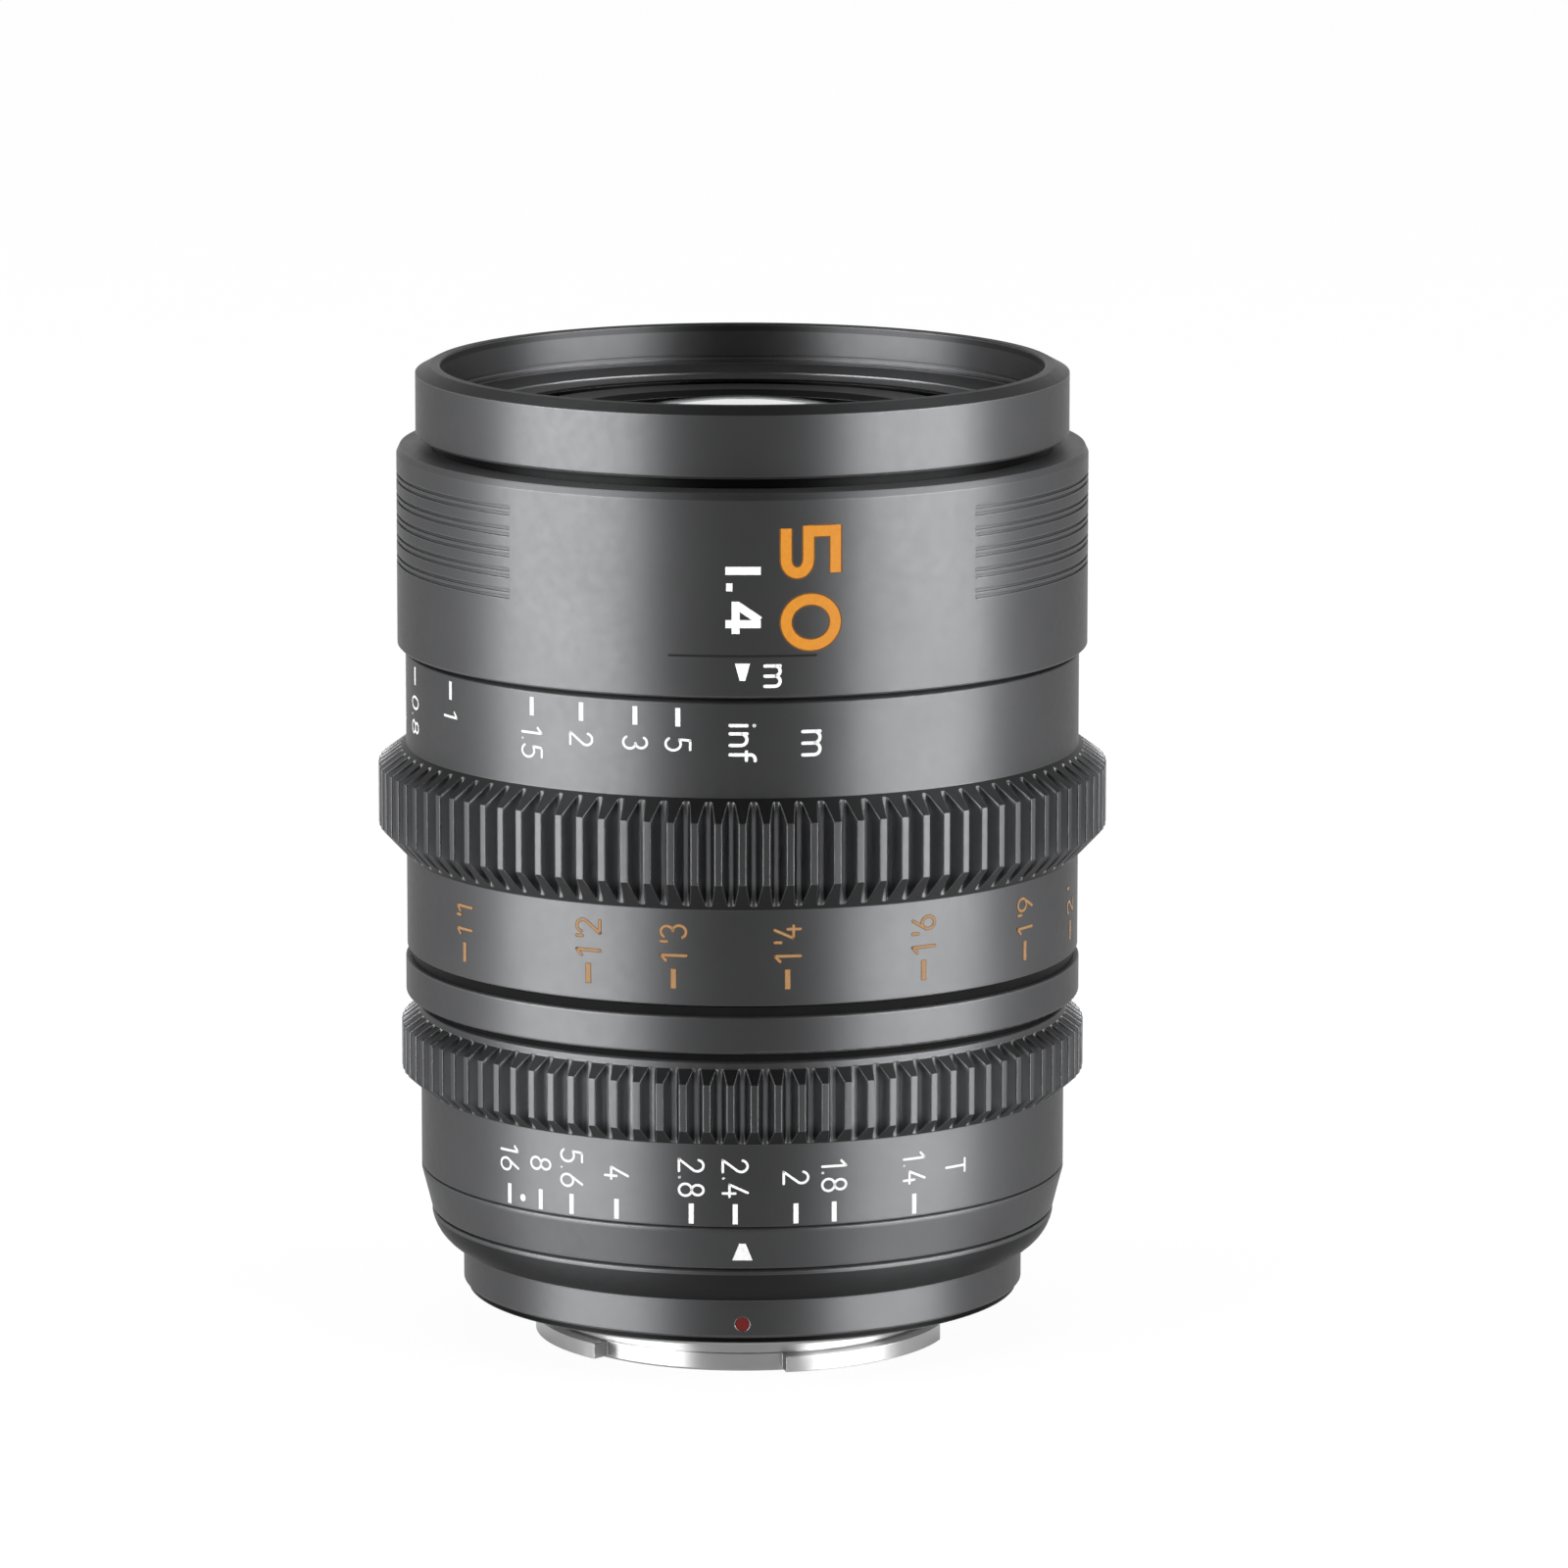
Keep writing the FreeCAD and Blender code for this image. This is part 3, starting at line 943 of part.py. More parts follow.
def iris_housing():
    body = revolve([
        (IRIS_LEDGE_R, IRIS_LEDGE_TOP_Z - IRIS_LEDGE_HEIGHT),
        (IRIS_HOUSING_BORE_R, IRIS_LEDGE_TOP_Z - IRIS_LEDGE_HEIGHT),
        (IRIS_HOUSING_BORE_R, IRIS_HOUSING_BOTTOM_Z),
        (IRIS_HOUSING_R, IRIS_HOUSING_BOTTOM_Z),
        (IRIS_HOUSING_R, GUIDE_TUBE_BOTTOM_Z - FACE),
        (IRIS_HOUSING_BORE_R, GUIDE_TUBE_BOTTOM_Z - FACE),
        (IRIS_HOUSING_BORE_R, IRIS_LEDGE_TOP_Z),
        (IRIS_LEDGE_R, IRIS_LEDGE_TOP_Z),
    ])
    half = IRIS_PIN_R + RUN
    half_deg = math.degrees(half / IRIS_HOUSING_BORE_R)
    slot = arc_cut(IRIS_HOUSING_BORE_R - 1, IRIS_HOUSING_R + 1, IRIS_PIN_Z - half, IRIS_PIN_Z + half,
                   IRIS_PIN_DEG - IRIS_OPEN_DEG - half_deg, IRIS_OPEN_DEG + IRIS_CLOSE_DEG + 2 * half_deg)
    return body.cut(slot)


def iris_ring():
    e = IRIS_RING_EDGE
    top = IRIS_RING_TOP_Z
    bottom = IRIS_RING_BOTTOM_Z
    relief = IRIS_BORE_R + IRIS_RELIEF_DEPTH
    land_top = top - IRIS_LAND_HEIGHT
    land_bottom = bottom + IRIS_LAND_HEIGHT
    body = revolve([
        (IRIS_BORE_R, bottom),
        (IRIS_RING_R - e, bottom),
        (IRIS_RING_R, bottom + e),
        (IRIS_RING_R, IRIS_GEAR_FOOT_BOTTOM_Z),
        (IRIS_GEAR_R, IRIS_GEAR_BOTTOM_Z),
        (IRIS_GEAR_R, IRIS_GEAR_TOP_Z),
        (IRIS_LIP_R, IRIS_GEAR_FOOT_TOP_Z),
        (IRIS_LIP_R, top - e),
        (IRIS_LIP_R - e, top),
        (IRIS_BORE_R, top),
        (IRIS_BORE_R, land_top),
        (relief, land_top - IRIS_RELIEF_DEPTH / 2),
        (relief, land_bottom + IRIS_RELIEF_DEPTH / 2),
        (IRIS_BORE_R, land_bottom),
    ])
    spaces = gear_spaces(IRIS_GEAR_R, IRIS_GEAR_DEPTH, IRIS_GEAR_TEETH, IRIS_GEAR_FOOT_BOTTOM_Z,
                         IRIS_GEAR_FOOT_TOP_Z, 0.0)
    half = IRIS_PIN_R + RUN
    keyway = Part.makeBox(2 * half, IRIS_PIN_REACH + 1, top + 1 - IRIS_KEYWAY_BOTTOM_Z,
                          FreeCAD.Vector(-half, -IRIS_HOUSING_R - IRIS_PIN_REACH - RUN, IRIS_KEYWAY_BOTTOM_Z))
    keyway.rotate(ORIGIN, AXIS, IRIS_PIN_DEG)
    return body.cut(spaces).cut(keyway)


def iris_thrust_washer():
    return tube(IRIS_BORE_R + IRIS_WASHER_BORE_GAP, IRIS_WASHER_R,
                IRIS_RING_TOP_Z + FACE, MID_RING_BOTTOM_Z)


# Iris mechanism

def iris_drive_pin():
    return radial_pin(IRIS_PIN_R, ROTOR_RIM_INNER_R + SEAT, IRIS_HOUSING_R + IRIS_PIN_REACH,
                      IRIS_PIN_Z, IRIS_PIN_DEG)


def blade_pin(closing_deg):
    """Where a blade's drive pin stands when the blade has closed by an angle, with its pivot on +X."""
    a = math.radians(closing_deg)
    return FreeCAD.Vector(PIVOT_CIRCLE_R + DRIVE_ARM * math.sin(a), -DRIVE_ARM * math.cos(a), 0)


def cam_slot(z0, z1, half):
    """The curved slot of the rotor that turns a blade in step with the ring, with the blade's pivot on +X."""
    sweep = IRIS_OPEN_DEG + IRIS_CLOSE_DEG
    path = []
    for i in range(CAM_SLOT_STEPS + 1):
        turned = sweep * i / CAM_SLOT_STEPS
        spot = blade_pin(BLADE_RATIO * turned)
        back = math.radians(IRIS_OPEN_DEG - turned)
        path.append(FreeCAD.Vector(spot.x * math.cos(back) - spot.y * math.sin(back),
                                   spot.x * math.sin(back) + spot.y * math.cos(back), z0))
    left = []
    right = []
    for i, spot in enumerate(path):
        along = path[min(i + 1, CAM_SLOT_STEPS)] - path[max(i - 1, 0)]
        side = FreeCAD.Vector(-along.y, along.x, 0).normalize() * half
        left.append(spot + side)
        right.append(spot - side)
    outline = left + right[::-1]
    slot = Part.Face(Part.makePolygon(outline + outline[:1])).extrude(FreeCAD.Vector(0, 0, z1 - z0))
    ends = [cylinder(half, z0, z1, spot.x, spot.y) for spot in (path[0], path[-1])]
    return [slot] + ends


def iris_rotor():
    body = revolve([
        (ROTOR_BORE_R, ROTOR_Z),
        (ROTOR_R, ROTOR_Z),
        (ROTOR_R, ROTOR_TOP_Z),
        (ROTOR_RIM_INNER_R, ROTOR_TOP_Z),
        (ROTOR_RIM_INNER_R, ROTOR_Z + ROTOR_PLATE),
        (ROTOR_BORE_R, ROTOR_Z + ROTOR_PLATE),
    ])
    cuts = [radial_pin(IRIS_PIN_R + SEAT, ROTOR_RIM_INNER_R - 1, ROTOR_R + 1, IRIS_PIN_Z, IRIS_PIN_DEG)]
    for piece in cam_slot(ROTOR_Z - 1, ROTOR_Z + ROTOR_PLATE + 0.5, DRIVE_PIN_R + RUN):
        cuts += around(piece, BLADES)
    return body.cut(cuts)


def iris_base_plate():
    top = BASE_PLATE_Z + BASE_PLATE_THICKNESS
    rim_top = ROTOR_Z - FACE
    body = revolve([
        (BLADE_INNER_R + SEAT_MARGIN, BASE_PLATE_Z),
        (IRIS_SEAT_R, BASE_PLATE_Z),
        (IRIS_SEAT_R, rim_top),
        (IRIS_SEAT_R - BASE_RIM_WALL, rim_top),
        (IRIS_SEAT_R - BASE_RIM_WALL, top),
        (BLADE_INNER_R + SEAT_MARGIN, top),
    ])
    hole = cylinder(PIVOT_PIN_R + RUN, BASE_PLATE_Z - 1, top + 1, PIVOT_CIRCLE_R, 0)
    return body.cut(around(hole, BLADES))


def stadium(ax, ay, bx, by, r, z0, z1):
    """A flat link with round ends at two points."""
    a = FreeCAD.Vector(ax, ay, z0)
    b = FreeCAD.Vector(bx, by, z0)
    along = (b - a).normalize()
    side = FreeCAD.Vector(-along.y, along.x, 0) * r
    edges = [
        Part.LineSegment(a + side, b + side).toShape(),
        Part.Arc(b + side, b + along * r, b - side).toShape(),
        Part.LineSegment(b - side, a - side).toShape(),
        Part.Arc(a - side, a - along * r, a + side).toShape(),
    ]
    return Part.Face(Part.Wire(edges)).extrude(FreeCAD.Vector(0, 0, z1 - z0))


def iris_blade(number):
    """A crescent leaf with its pivot pin below and its drive pin above. Each leaf lies on its own level."""
    z0 = BLADE_FIRST_Z + number * BLADE_PITCH
    z1 = z0 + BLADE_THICKNESS
    crescent = arc_cut(BLADE_INNER_R, BLADE_OUTER_R, z0, z1, 90 - BLADE_HEEL_DEG,
                       BLADE_HEEL_DEG + BLADE_SWEEP_DEG)
    middle_r = (BLADE_INNER_R + BLADE_OUTER_R) / 2
    tip = math.radians(BLADE_SWEEP_DEG)
    tip_round = cylinder((BLADE_OUTER_R - BLADE_INNER_R) / 2, z0, z1,
                         middle_r * math.cos(tip), middle_r * math.sin(tip))
    root = stadium(PIVOT_CIRCLE_R, 0, BLADE_OUTER_R - TAB_R, 0, TAB_R, z0, z1)
    pin = blade_pin(0)
    arm = stadium(PIVOT_CIRCLE_R, 0, pin.x, pin.y, TAB_R, z0, z1)
    pivot = cylinder(PIVOT_PIN_R, BASE_PLATE_Z + BASE_PLATE_THICKNESS / 5, z1, PIVOT_CIRCLE_R, 0)
    drive = cylinder(DRIVE_PIN_R, z0, ROTOR_Z + ROTOR_PLATE - FACE, pin.x, pin.y)
    blade = crescent.fuse([tip_round, root, arm, pivot, drive]).removeSplitter()
    blade.rotate(FreeCAD.Vector(PIVOT_CIRCLE_R, 0, 0), AXIS, BLADE_REST_DEG)
    blade.rotate(ORIGIN, AXIS, number * 360.0 / BLADES)
    return blade


def iris_retaining_ring():
    bottom = ROTOR_TOP_Z + FACE
    top = bottom + IRIS_RETAINER_HEIGHT
    return retaining_ring(IRIS_RETAINER_BORE_R, IRIS_SEAT_R, bottom, top, top)


# Rear group

def rear_cell():
    bore = REAR_ELEMENT_R + SEAT
    return revolve([
        (REAR_CLEAR_R + SEAT_MARGIN, REAR_CELL_BOTTOM_Z),
        (REAR_CELL_R, REAR_CELL_BOTTOM_Z),
        (REAR_CELL_R, IRIS_LEDGE_TOP_Z),
        (IRIS_SEAT_R, IRIS_LEDGE_TOP_Z),
        (IRIS_SEAT_R, BASE_PLATE_Z),
        (bore, BASE_PLATE_Z),
        (bore, REAR_SEAT_Z),
        (REAR_CLEAR_R + SEAT_MARGIN, REAR_SEAT_Z),
    ])


def seventh_element():
    return lens(REAR_ELEMENT_R, SEVENTH_ELEMENT_TOP_Z, REAR_CLEAR_R, SEVENTH_ELEMENT_FRONT_CURVE,
                SEVENTH_ELEMENT_BOTTOM_Z, REAR_CLEAR_R, SEVENTH_ELEMENT_REAR_CURVE)


def eighth_element():
    return lens(REAR_ELEMENT_R, EIGHTH_ELEMENT_TOP_Z, REAR_CLEAR_R, EIGHTH_ELEMENT_FRONT_CURVE,
                EIGHTH_ELEMENT_BOTTOM_Z, REAR_CLEAR_R, EIGHTH_ELEMENT_REAR_CURVE)


def ninth_element():
    return lens(REAR_ELEMENT_R, NINTH_ELEMENT_TOP_Z, REAR_CLEAR_R, NINTH_ELEMENT_FRONT_CURVE,
                REAR_SEAT_Z, REAR_CLEAR_R, NINTH_ELEMENT_REAR_CURVE)


def rear_spacer(z0, z1):
    return tube(REAR_CLEAR_R + SEAT_MARGIN, REAR_ELEMENT_R, z0, z1)


def rear_retaining_ring():
    top = SEVENTH_ELEMENT_TOP_Z + REAR_RETAINER_HEIGHT
    return retaining_ring(REAR_CLEAR_R + SEAT_MARGIN, REAR_ELEMENT_R, SEVENTH_ELEMENT_TOP_Z, top, top)


def index_ring():
    bore = IRIS_HOUSING_R + SEAT
    e = IRIS_RING_EDGE
    return revolve([
        (bore, INDEX_RING_BOTTOM_Z),
        (INDEX_RING_BOTTOM_R - e, INDEX_RING_BOTTOM_Z),
        (INDEX_RING_BOTTOM_R, INDEX_RING_BOTTOM_Z + e),
        (INDEX_RING_TOP_R, INDEX_RING_TOP_Z - INDEX_RING_BAND),
        (INDEX_RING_TOP_R, INDEX_RING_TOP_Z - e),
        (INDEX_RING_TOP_R - e, INDEX_RING_TOP_Z),
        (bore, INDEX_RING_TOP_Z),
    ])


def rear_barrel():
    bore = IRIS_HOUSING_R + SEAT
    e = REAR_BARREL_EDGE
    body = revolve([
        (REAR_BARREL_BORE_R, REAR_BARREL_BOTTOM_Z),
        (FLANGE_R + FLANGE_LIP_GAP, REAR_BARREL_BOTTOM_Z),
        (FLANGE_R + FLANGE_LIP_GAP, REAR_BARREL_LIP_Z),
        (REAR_BARREL_R - REAR_BARREL_LIP_INSET, REAR_BARREL_LIP_Z),
        (REAR_BARREL_R - REAR_BARREL_LIP_INSET, REAR_BARREL_BOTTOM_Z),
        (REAR_BARREL_R - e, REAR_BARREL_BOTTOM_Z),
        (REAR_BARREL_R, REAR_BARREL_BOTTOM_Z + e),
        (REAR_BARREL_R, REAR_BARREL_CORNER_Z),
        ((REAR_BARREL_BELLY_R, REAR_BARREL_BELLY_Z),
         (REAR_BARREL_TOP_R, REAR_BARREL_TOP_Z - REAR_BARREL_BAND)),
        (REAR_BARREL_TOP_R, REAR_BARREL_TOP_Z - IRIS_RING_EDGE),
        (REAR_BARREL_TOP_R - IRIS_RING_EDGE, REAR_BARREL_TOP_Z),
        (bore, REAR_BARREL_TOP_Z),
        (bore, IRIS_HOUSING_BOTTOM_Z),
        (REAR_BARREL_BORE_R, IRIS_HOUSING_BOTTOM_Z),
    ])
    dot = radial_pin(INDEX_DOT_R + SEAT, REAR_BARREL_R - INDEX_DOT_DEPTH, REAR_BARREL_R + 1, INDEX_DOT_Z, 0)
    return body.cut([screw_holes(*mount_screw_args()), dot])


def mount_shim():
    body = tube(REAR_BARREL_BORE_R, FLANGE_R - SHIM_INSET,
                FLANGE_THICKNESS, FLANGE_THICKNESS + MOUNT_SHIM_THICKNESS)
    return body.cut(screw_holes(*mount_screw_args()))


def bayonet_mount():
    step_r = SPIGOT_R - SPIGOT_STEP
    body = revolve([
        (SPIGOT_BORE_R, SPIGOT_BOTTOM_Z),
        (step_r - FLANGE_EDGE, SPIGOT_BOTTOM_Z),
        (step_r, SPIGOT_BOTTOM_Z + FLANGE_EDGE),
        (step_r, SPIGOT_STEP_Z),
        (step_r - SPIGOT_GROOVE, SPIGOT_STEP_Z),
        (step_r - SPIGOT_GROOVE, SPIGOT_STEP_Z + SPIGOT_GROOVE),
        (SPIGOT_R, SPIGOT_STEP_Z + SPIGOT_GROOVE),
        (SPIGOT_R, 0),
        (FLANGE_R - FLANGE_EDGE, 0),
        (FLANGE_R, FLANGE_EDGE),
        (FLANGE_R, FLANGE_THICKNESS),
        (SPIGOT_BORE_R, FLANGE_THICKNESS),
    ])
    lugs = [arc_cut(step_r - LUG_ROOT, LUG_R, LUG_BOTTOM_Z, SPIGOT_STEP_Z, start, LUG_SPAN_DEG)
            for start in LUG_STARTS_DEG]
    body = body.fuse(lugs).removeSplitter()
    lock_corner = FreeCAD.Vector(-LOCK_SLOT_WIDTH / 2, -MOUNT_SCREW_CIRCLE_R - LOCK_SLOT_LENGTH / 2, -1)
    lock = Part.makeBox(LOCK_SLOT_WIDTH, LOCK_SLOT_LENGTH, LOCK_SLOT_DEPTH + 1, lock_corner)
    lock.rotate(ORIGIN, AXIS, LOCK_SLOT_DEG)
    return body.cut([screw_holes(*mount_screw_args()), lock])


def mount_index_dot():
    return radial_pin(INDEX_DOT_R, REAR_BARREL_R - INDEX_DOT_DEPTH + SEAT,
                      REAR_BARREL_R - INDEX_DOT_SUNK, INDEX_DOT_Z, 0)


def rear_baffle():
    body = tube(1.0, SPIGOT_BORE_R - SEAT, BAFFLE_BOTTOM_Z, BAFFLE_TOP_Z)
    window = Part.makeBox(BAFFLE_WINDOW_X, BAFFLE_WINDOW_Y, BAFFLE_TOP_Z - BAFFLE_BOTTOM_Z + 2,
                          FreeCAD.Vector(-BAFFLE_WINDOW_X / 2, -BAFFLE_WINDOW_Y / 2, BAFFLE_BOTTOM_Z - 1))
    upright = [e for e in window.Edges if abs(e.tangentAt(e.FirstParameter).z) > 0.9]
    return body.cut(window.makeFillet(BAFFLE_CORNER_R, upright))


def all_parts():
    parts = {
        "front_ring": front_ring(),
        "beauty_ring": beauty_ring(),
        "front_retaining_ring": front_retaining_ring(),
        "front_barrel": front_barrel(),
        "front_cell": front_cell(),
        "front_element": front_element(),
        "front_spacer": front_spacer(),
        "second_element": second_element(),
        "third_element": third_element(),
        "third_element_retainer": third_element_retainer(),
        "front_cell_screws": screw_set(*cell_screw_args()),
        "front_barrel_screws": screw_set(*barrel_screw_args()),
        "guide_tube": guide_tube(),
        "cam_sleeve": cam_sleeve(),
        "focus_ring": focus_ring(),
        "focus_ring_screws": screw_set(*ring_screw_args()),
        "front_thrust_washer": front_thrust_washer(),
        "rear_thrust_ring": rear_thrust_ring(),
        "focus_stop_pin": focus_stop_pin(),
        "focus_carriage": focus_carriage(),
        "follower_pins": follower_pins(),
        "fourth_element": fourth_element(),
        "carriage_front_spacer": carriage_spacer(FIFTH_ELEMENT_TOP_Z, FOURTH_ELEMENT_BOTTOM_Z),
        "fifth_element": fifth_element(),
        "carriage_rear_spacer": carriage_spacer(SIXTH_ELEMENT_TOP_Z, FIFTH_ELEMENT_BOTTOM_Z),
        "sixth_element": sixth_element(),
        "carriage_retaining_ring": carriage_retaining_ring(),
        "mid_ring": mid_ring(),
        "iris_housing": iris_housing(),
        "iris_ring": iris_ring(),
        "iris_thrust_washer": iris_thrust_washer(),
        "iris_drive_pin": iris_drive_pin(),
        "iris_rotor": iris_rotor(),
        "iris_base_plate": iris_base_plate(),
        "iris_retaining_ring": iris_retaining_ring(),
        "rear_cell": rear_cell(),
        "seventh_element": seventh_element(),
        "rear_short_spacer": rear_spacer(EIGHTH_ELEMENT_TOP_Z, SEVENTH_ELEMENT_BOTTOM_Z),
        "eighth_element": eighth_element(),
        "rear_long_spacer": rear_spacer(NINTH_ELEMENT_TOP_Z, EIGHTH_ELEMENT_BOTTOM_Z),
        "ninth_element": ninth_element(),
        "rear_retaining_ring": rear_retaining_ring(),
        "index_ring": index_ring(),
        "rear_barrel": rear_barrel(),
        "mount_shim": mount_shim(),
        "bayonet_mount": bayonet_mount(),
        "mount_screws": screw_set(*mount_screw_args()),
        "mount_index_dot": mount_index_dot(),
        "rear_baffle": rear_baffle(),
    }
    for number in range(BLADES):
        parts["iris_blade_%d" % (number + 1)] = iris_blade(number)
    return parts


def main():
    os.makedirs("parts", exist_ok=True)
    for name, shape in all_parts().items():
        shape.exportStep("parts/%s.step" % name)
        report = (name, len(shape.Solids), shape.isValid(), shape.Volume)
        print("%-24s solids %d valid %s volume %9.2f" % report)


main()
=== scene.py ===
"""Looks of the cine lens: materials, the painted scales, the lights and the photo's camera.

Lengths are in metres unless a name ends in MM. Angles on the lens are counted in degrees from the front
(-Y) towards +X. The CAD solids keep their shape and get procedural materials. The scales are thin pieces
that fill the engraving on the rings.
"""
import json
import math

import bpy
from mathutils import Matrix, Vector


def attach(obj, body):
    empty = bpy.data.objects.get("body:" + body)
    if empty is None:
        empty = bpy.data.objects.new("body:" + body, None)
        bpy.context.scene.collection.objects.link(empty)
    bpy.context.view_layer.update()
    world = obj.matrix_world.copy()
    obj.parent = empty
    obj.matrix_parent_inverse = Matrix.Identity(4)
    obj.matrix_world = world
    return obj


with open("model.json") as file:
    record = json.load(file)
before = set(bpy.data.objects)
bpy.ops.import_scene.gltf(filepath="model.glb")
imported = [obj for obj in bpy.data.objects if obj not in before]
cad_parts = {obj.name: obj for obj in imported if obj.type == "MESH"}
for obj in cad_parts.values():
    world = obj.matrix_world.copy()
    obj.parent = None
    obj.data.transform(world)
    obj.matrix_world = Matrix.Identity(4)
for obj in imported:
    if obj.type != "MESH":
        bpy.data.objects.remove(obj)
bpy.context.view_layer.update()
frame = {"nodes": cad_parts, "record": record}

MM = 0.001

# Rings that carry marks, as in the CAD; the tapered one has a radius and a height at each end
BARREL_R_MM = 37.85
FOCUS_RING_R_MM = 36.95
IRIS_RING_R_MM = 35.5
INDEX_RING_LOW_MM = (34.44, 10.15)
INDEX_RING_HIGH_MM = (35.5, 14.4)
# The lugs of the mount stand on the floor
FLOOR_Z = -4.4 * MM

# Camera: fitted to the ring edges of the photo
CAMERA_PLACE = (0.0, -1.0410, 0.24356)
CAMERA_PITCH_DEG = 10.166
CAMERA_YAW_DEG = 0.2478
CAMERA_LENS_MM = 220.60
CAMERA_SENSOR_MM = 36.0
CAMERA_NEAR = 0.01
CAMERA_FAR = 30.0

# Turned metal: spread of its colour and roughness, blasted grain and turning lines; scales are per metre
CLOUD_SCALE = 130.0
CLOUD_DARK = 0.97
CLOUD_LIGHT = 1.03
ROUGHNESS_SCALE = 900.0
ROUGHNESS_DOWN = 0.02
ROUGHNESS_UP = 0.025
GRAIN_SCALE = 9000.0
GRAIN_DETAIL = 2.0
GRAIN_STRENGTH = 0.16
TURNING_SCALE = 60.0
TURNING_DETAIL = 4.0
TURNING_STRETCH = (1.0, 1.0, 130.0)
TURNING_STRENGTH = 0.05
BUMP_DEPTH = 0.02 * MM
BEVEL_RADIUS = 0.12 * MM
BEVEL_SAMPLES = 6

# Turned surfaces are rougher across the tool marks, a quarter turn from the way round
ACROSS_THE_TURNING = 0.25
# Share of the light that metal sends back near a grazing angle
GRAZING_TINT = (0.6, 0.6, 0.6)

# Edges are painted lighter, for wear and as a painted highlight, where the rounded normal leaves the flat
# one: their cosines, and the lighter colour
WEAR_AND_HIGHLIGHT_ENDS = (0.995, 0.90)
WEAR_AND_HIGHLIGHT_SHARE = 2.2
WEAR_AND_HIGHLIGHT_LIFT = 0.03

# Ends of a noise value that a range or a colour is spread over
NOISE_ENDS = (0.3, 0.7)
TINT_ENDS = (0.35, 0.65)

# Sockets of a colour mix
MIX_FIRST = 6
MIX_SECOND = 7
MIX_RESULT = 2

# Finishes of paint and of plastic
PAINT = {"specular": 0.2, "dark_share": 0.9, "cloud_scale": 2500.0,
         "bump_scale": 5000.0, "strength": 0.15, "depth": 0.02 * MM}
PLASTIC = {"specular": 0.04, "dark_share": 0.8, "cloud_scale": 400.0,
           "bump_scale": 6000.0, "strength": 0.3, "depth": 0.03 * MM}
PAINT_ROUGHNESS = 0.45

# Bending of light by paint and plastic, by glass and by its coating, with the coating's thickness in nm
PLAIN_IOR = 1.5
GLASS_IOR = 1.62
COATING_IOR = 1.38
COATING_NM = 105.0
HAZE_SCALE = 260.0
HAZE_ENDS = (0.45, 0.75)
HAZE_ROUGHNESS = 0.012

# Finish of the shell and of the black pieces; the EDGE values say how much edges are painted lighter, for
# wear and painted highlight
SHELL_COLOR = (0.109, 0.110, 0.113)
SHELL_ROUGHNESS = 0.48
SHELL_METALLIC = 0.99
SHELL_BRUSHED = 0.75
SHELL_BEVEL = 0.2 * MM
SHELL_EDGE = 0.7
GEAR_EDGE = 0.2
GEAR_NODES = ("focus_ring", "iris_ring")
BLACK_COLOR = (0.105, 0.105, 0.108)
BLACK_ROUGHNESS = 0.4
BLACK_BRUSHED = 0.6
BLACK_EDGE = 0.2

# A face is a slope where the upright part of its normal is larger than this
STEEP = 0.3
# Height over which the painted light in the gear spaces fades out
BAND_SOFT_END = 1.8 * MM


class Band:
    """Band between two heights where the colour is scaled by its own share: painted shade below 1, painted
    light above 1.

    It covers everything there, only the slopes, or only the gear spaces inside a radius.
    """

    def __init__(self, low_mm, high_mm, share, where="everything", radius_mm=None):
        self.low = low_mm * MM
        self.high = high_mm * MM
        self.share = share
        self.where = where
        self.radius = radius_mm * MM if radius_mm else None


# Painted shade and light on the shell, by height. On the rear barrel: a darker cone and a darker foot above
# the mount. On the front ring: a darker neck in the gap above the barrel and a darker rim chamfer. On the
# gear rings: darker slopes, and gear spaces painted lighter where they lie deep in shade
SHELL_SHADE_AND_LIGHT_BANDS = {
    "rear_barrel": [Band(5.86, 9.42, 0.36), Band(0.9, 1.66, 0.1)],
    "front_ring": [Band(80.0, 95.9, 0.1), Band(102.8, 103.7, 0.6)],
    "focus_ring": [Band(49.86, 61.94, 0.45, "slopes"), Band(51.4, 61.2, 2.9, "spaces", 39.85)],
    "iris_ring": [Band(24.02, 32.28, 0.45, "slopes"), Band(24.7, 32.0, 2.8, "spaces", 37.45)],
}
# Pieces in the mouth: their colour and bands by height. The beauty ring has a painted lighter ring and
# painted shade on its inner skirt wall. The retaining ring has painted shade on its bore
MOUTH_COLOR_SHADE_AND_LIGHT = {
    "beauty_ring": ((0.17, 0.17, 0.174), [Band(98.085, 98.5, 1.25), Band(90.0, 98.085, 0.03)]),
    "front_retaining_ring": (BLACK_COLOR, [Band(96.0, 97.78, 0.4)]),
}


def scaled(color, share, lift=0.0):
    """Colour times a share, with a lift."""
    return tuple(min(1.0, share * channel + lift) for channel in color)


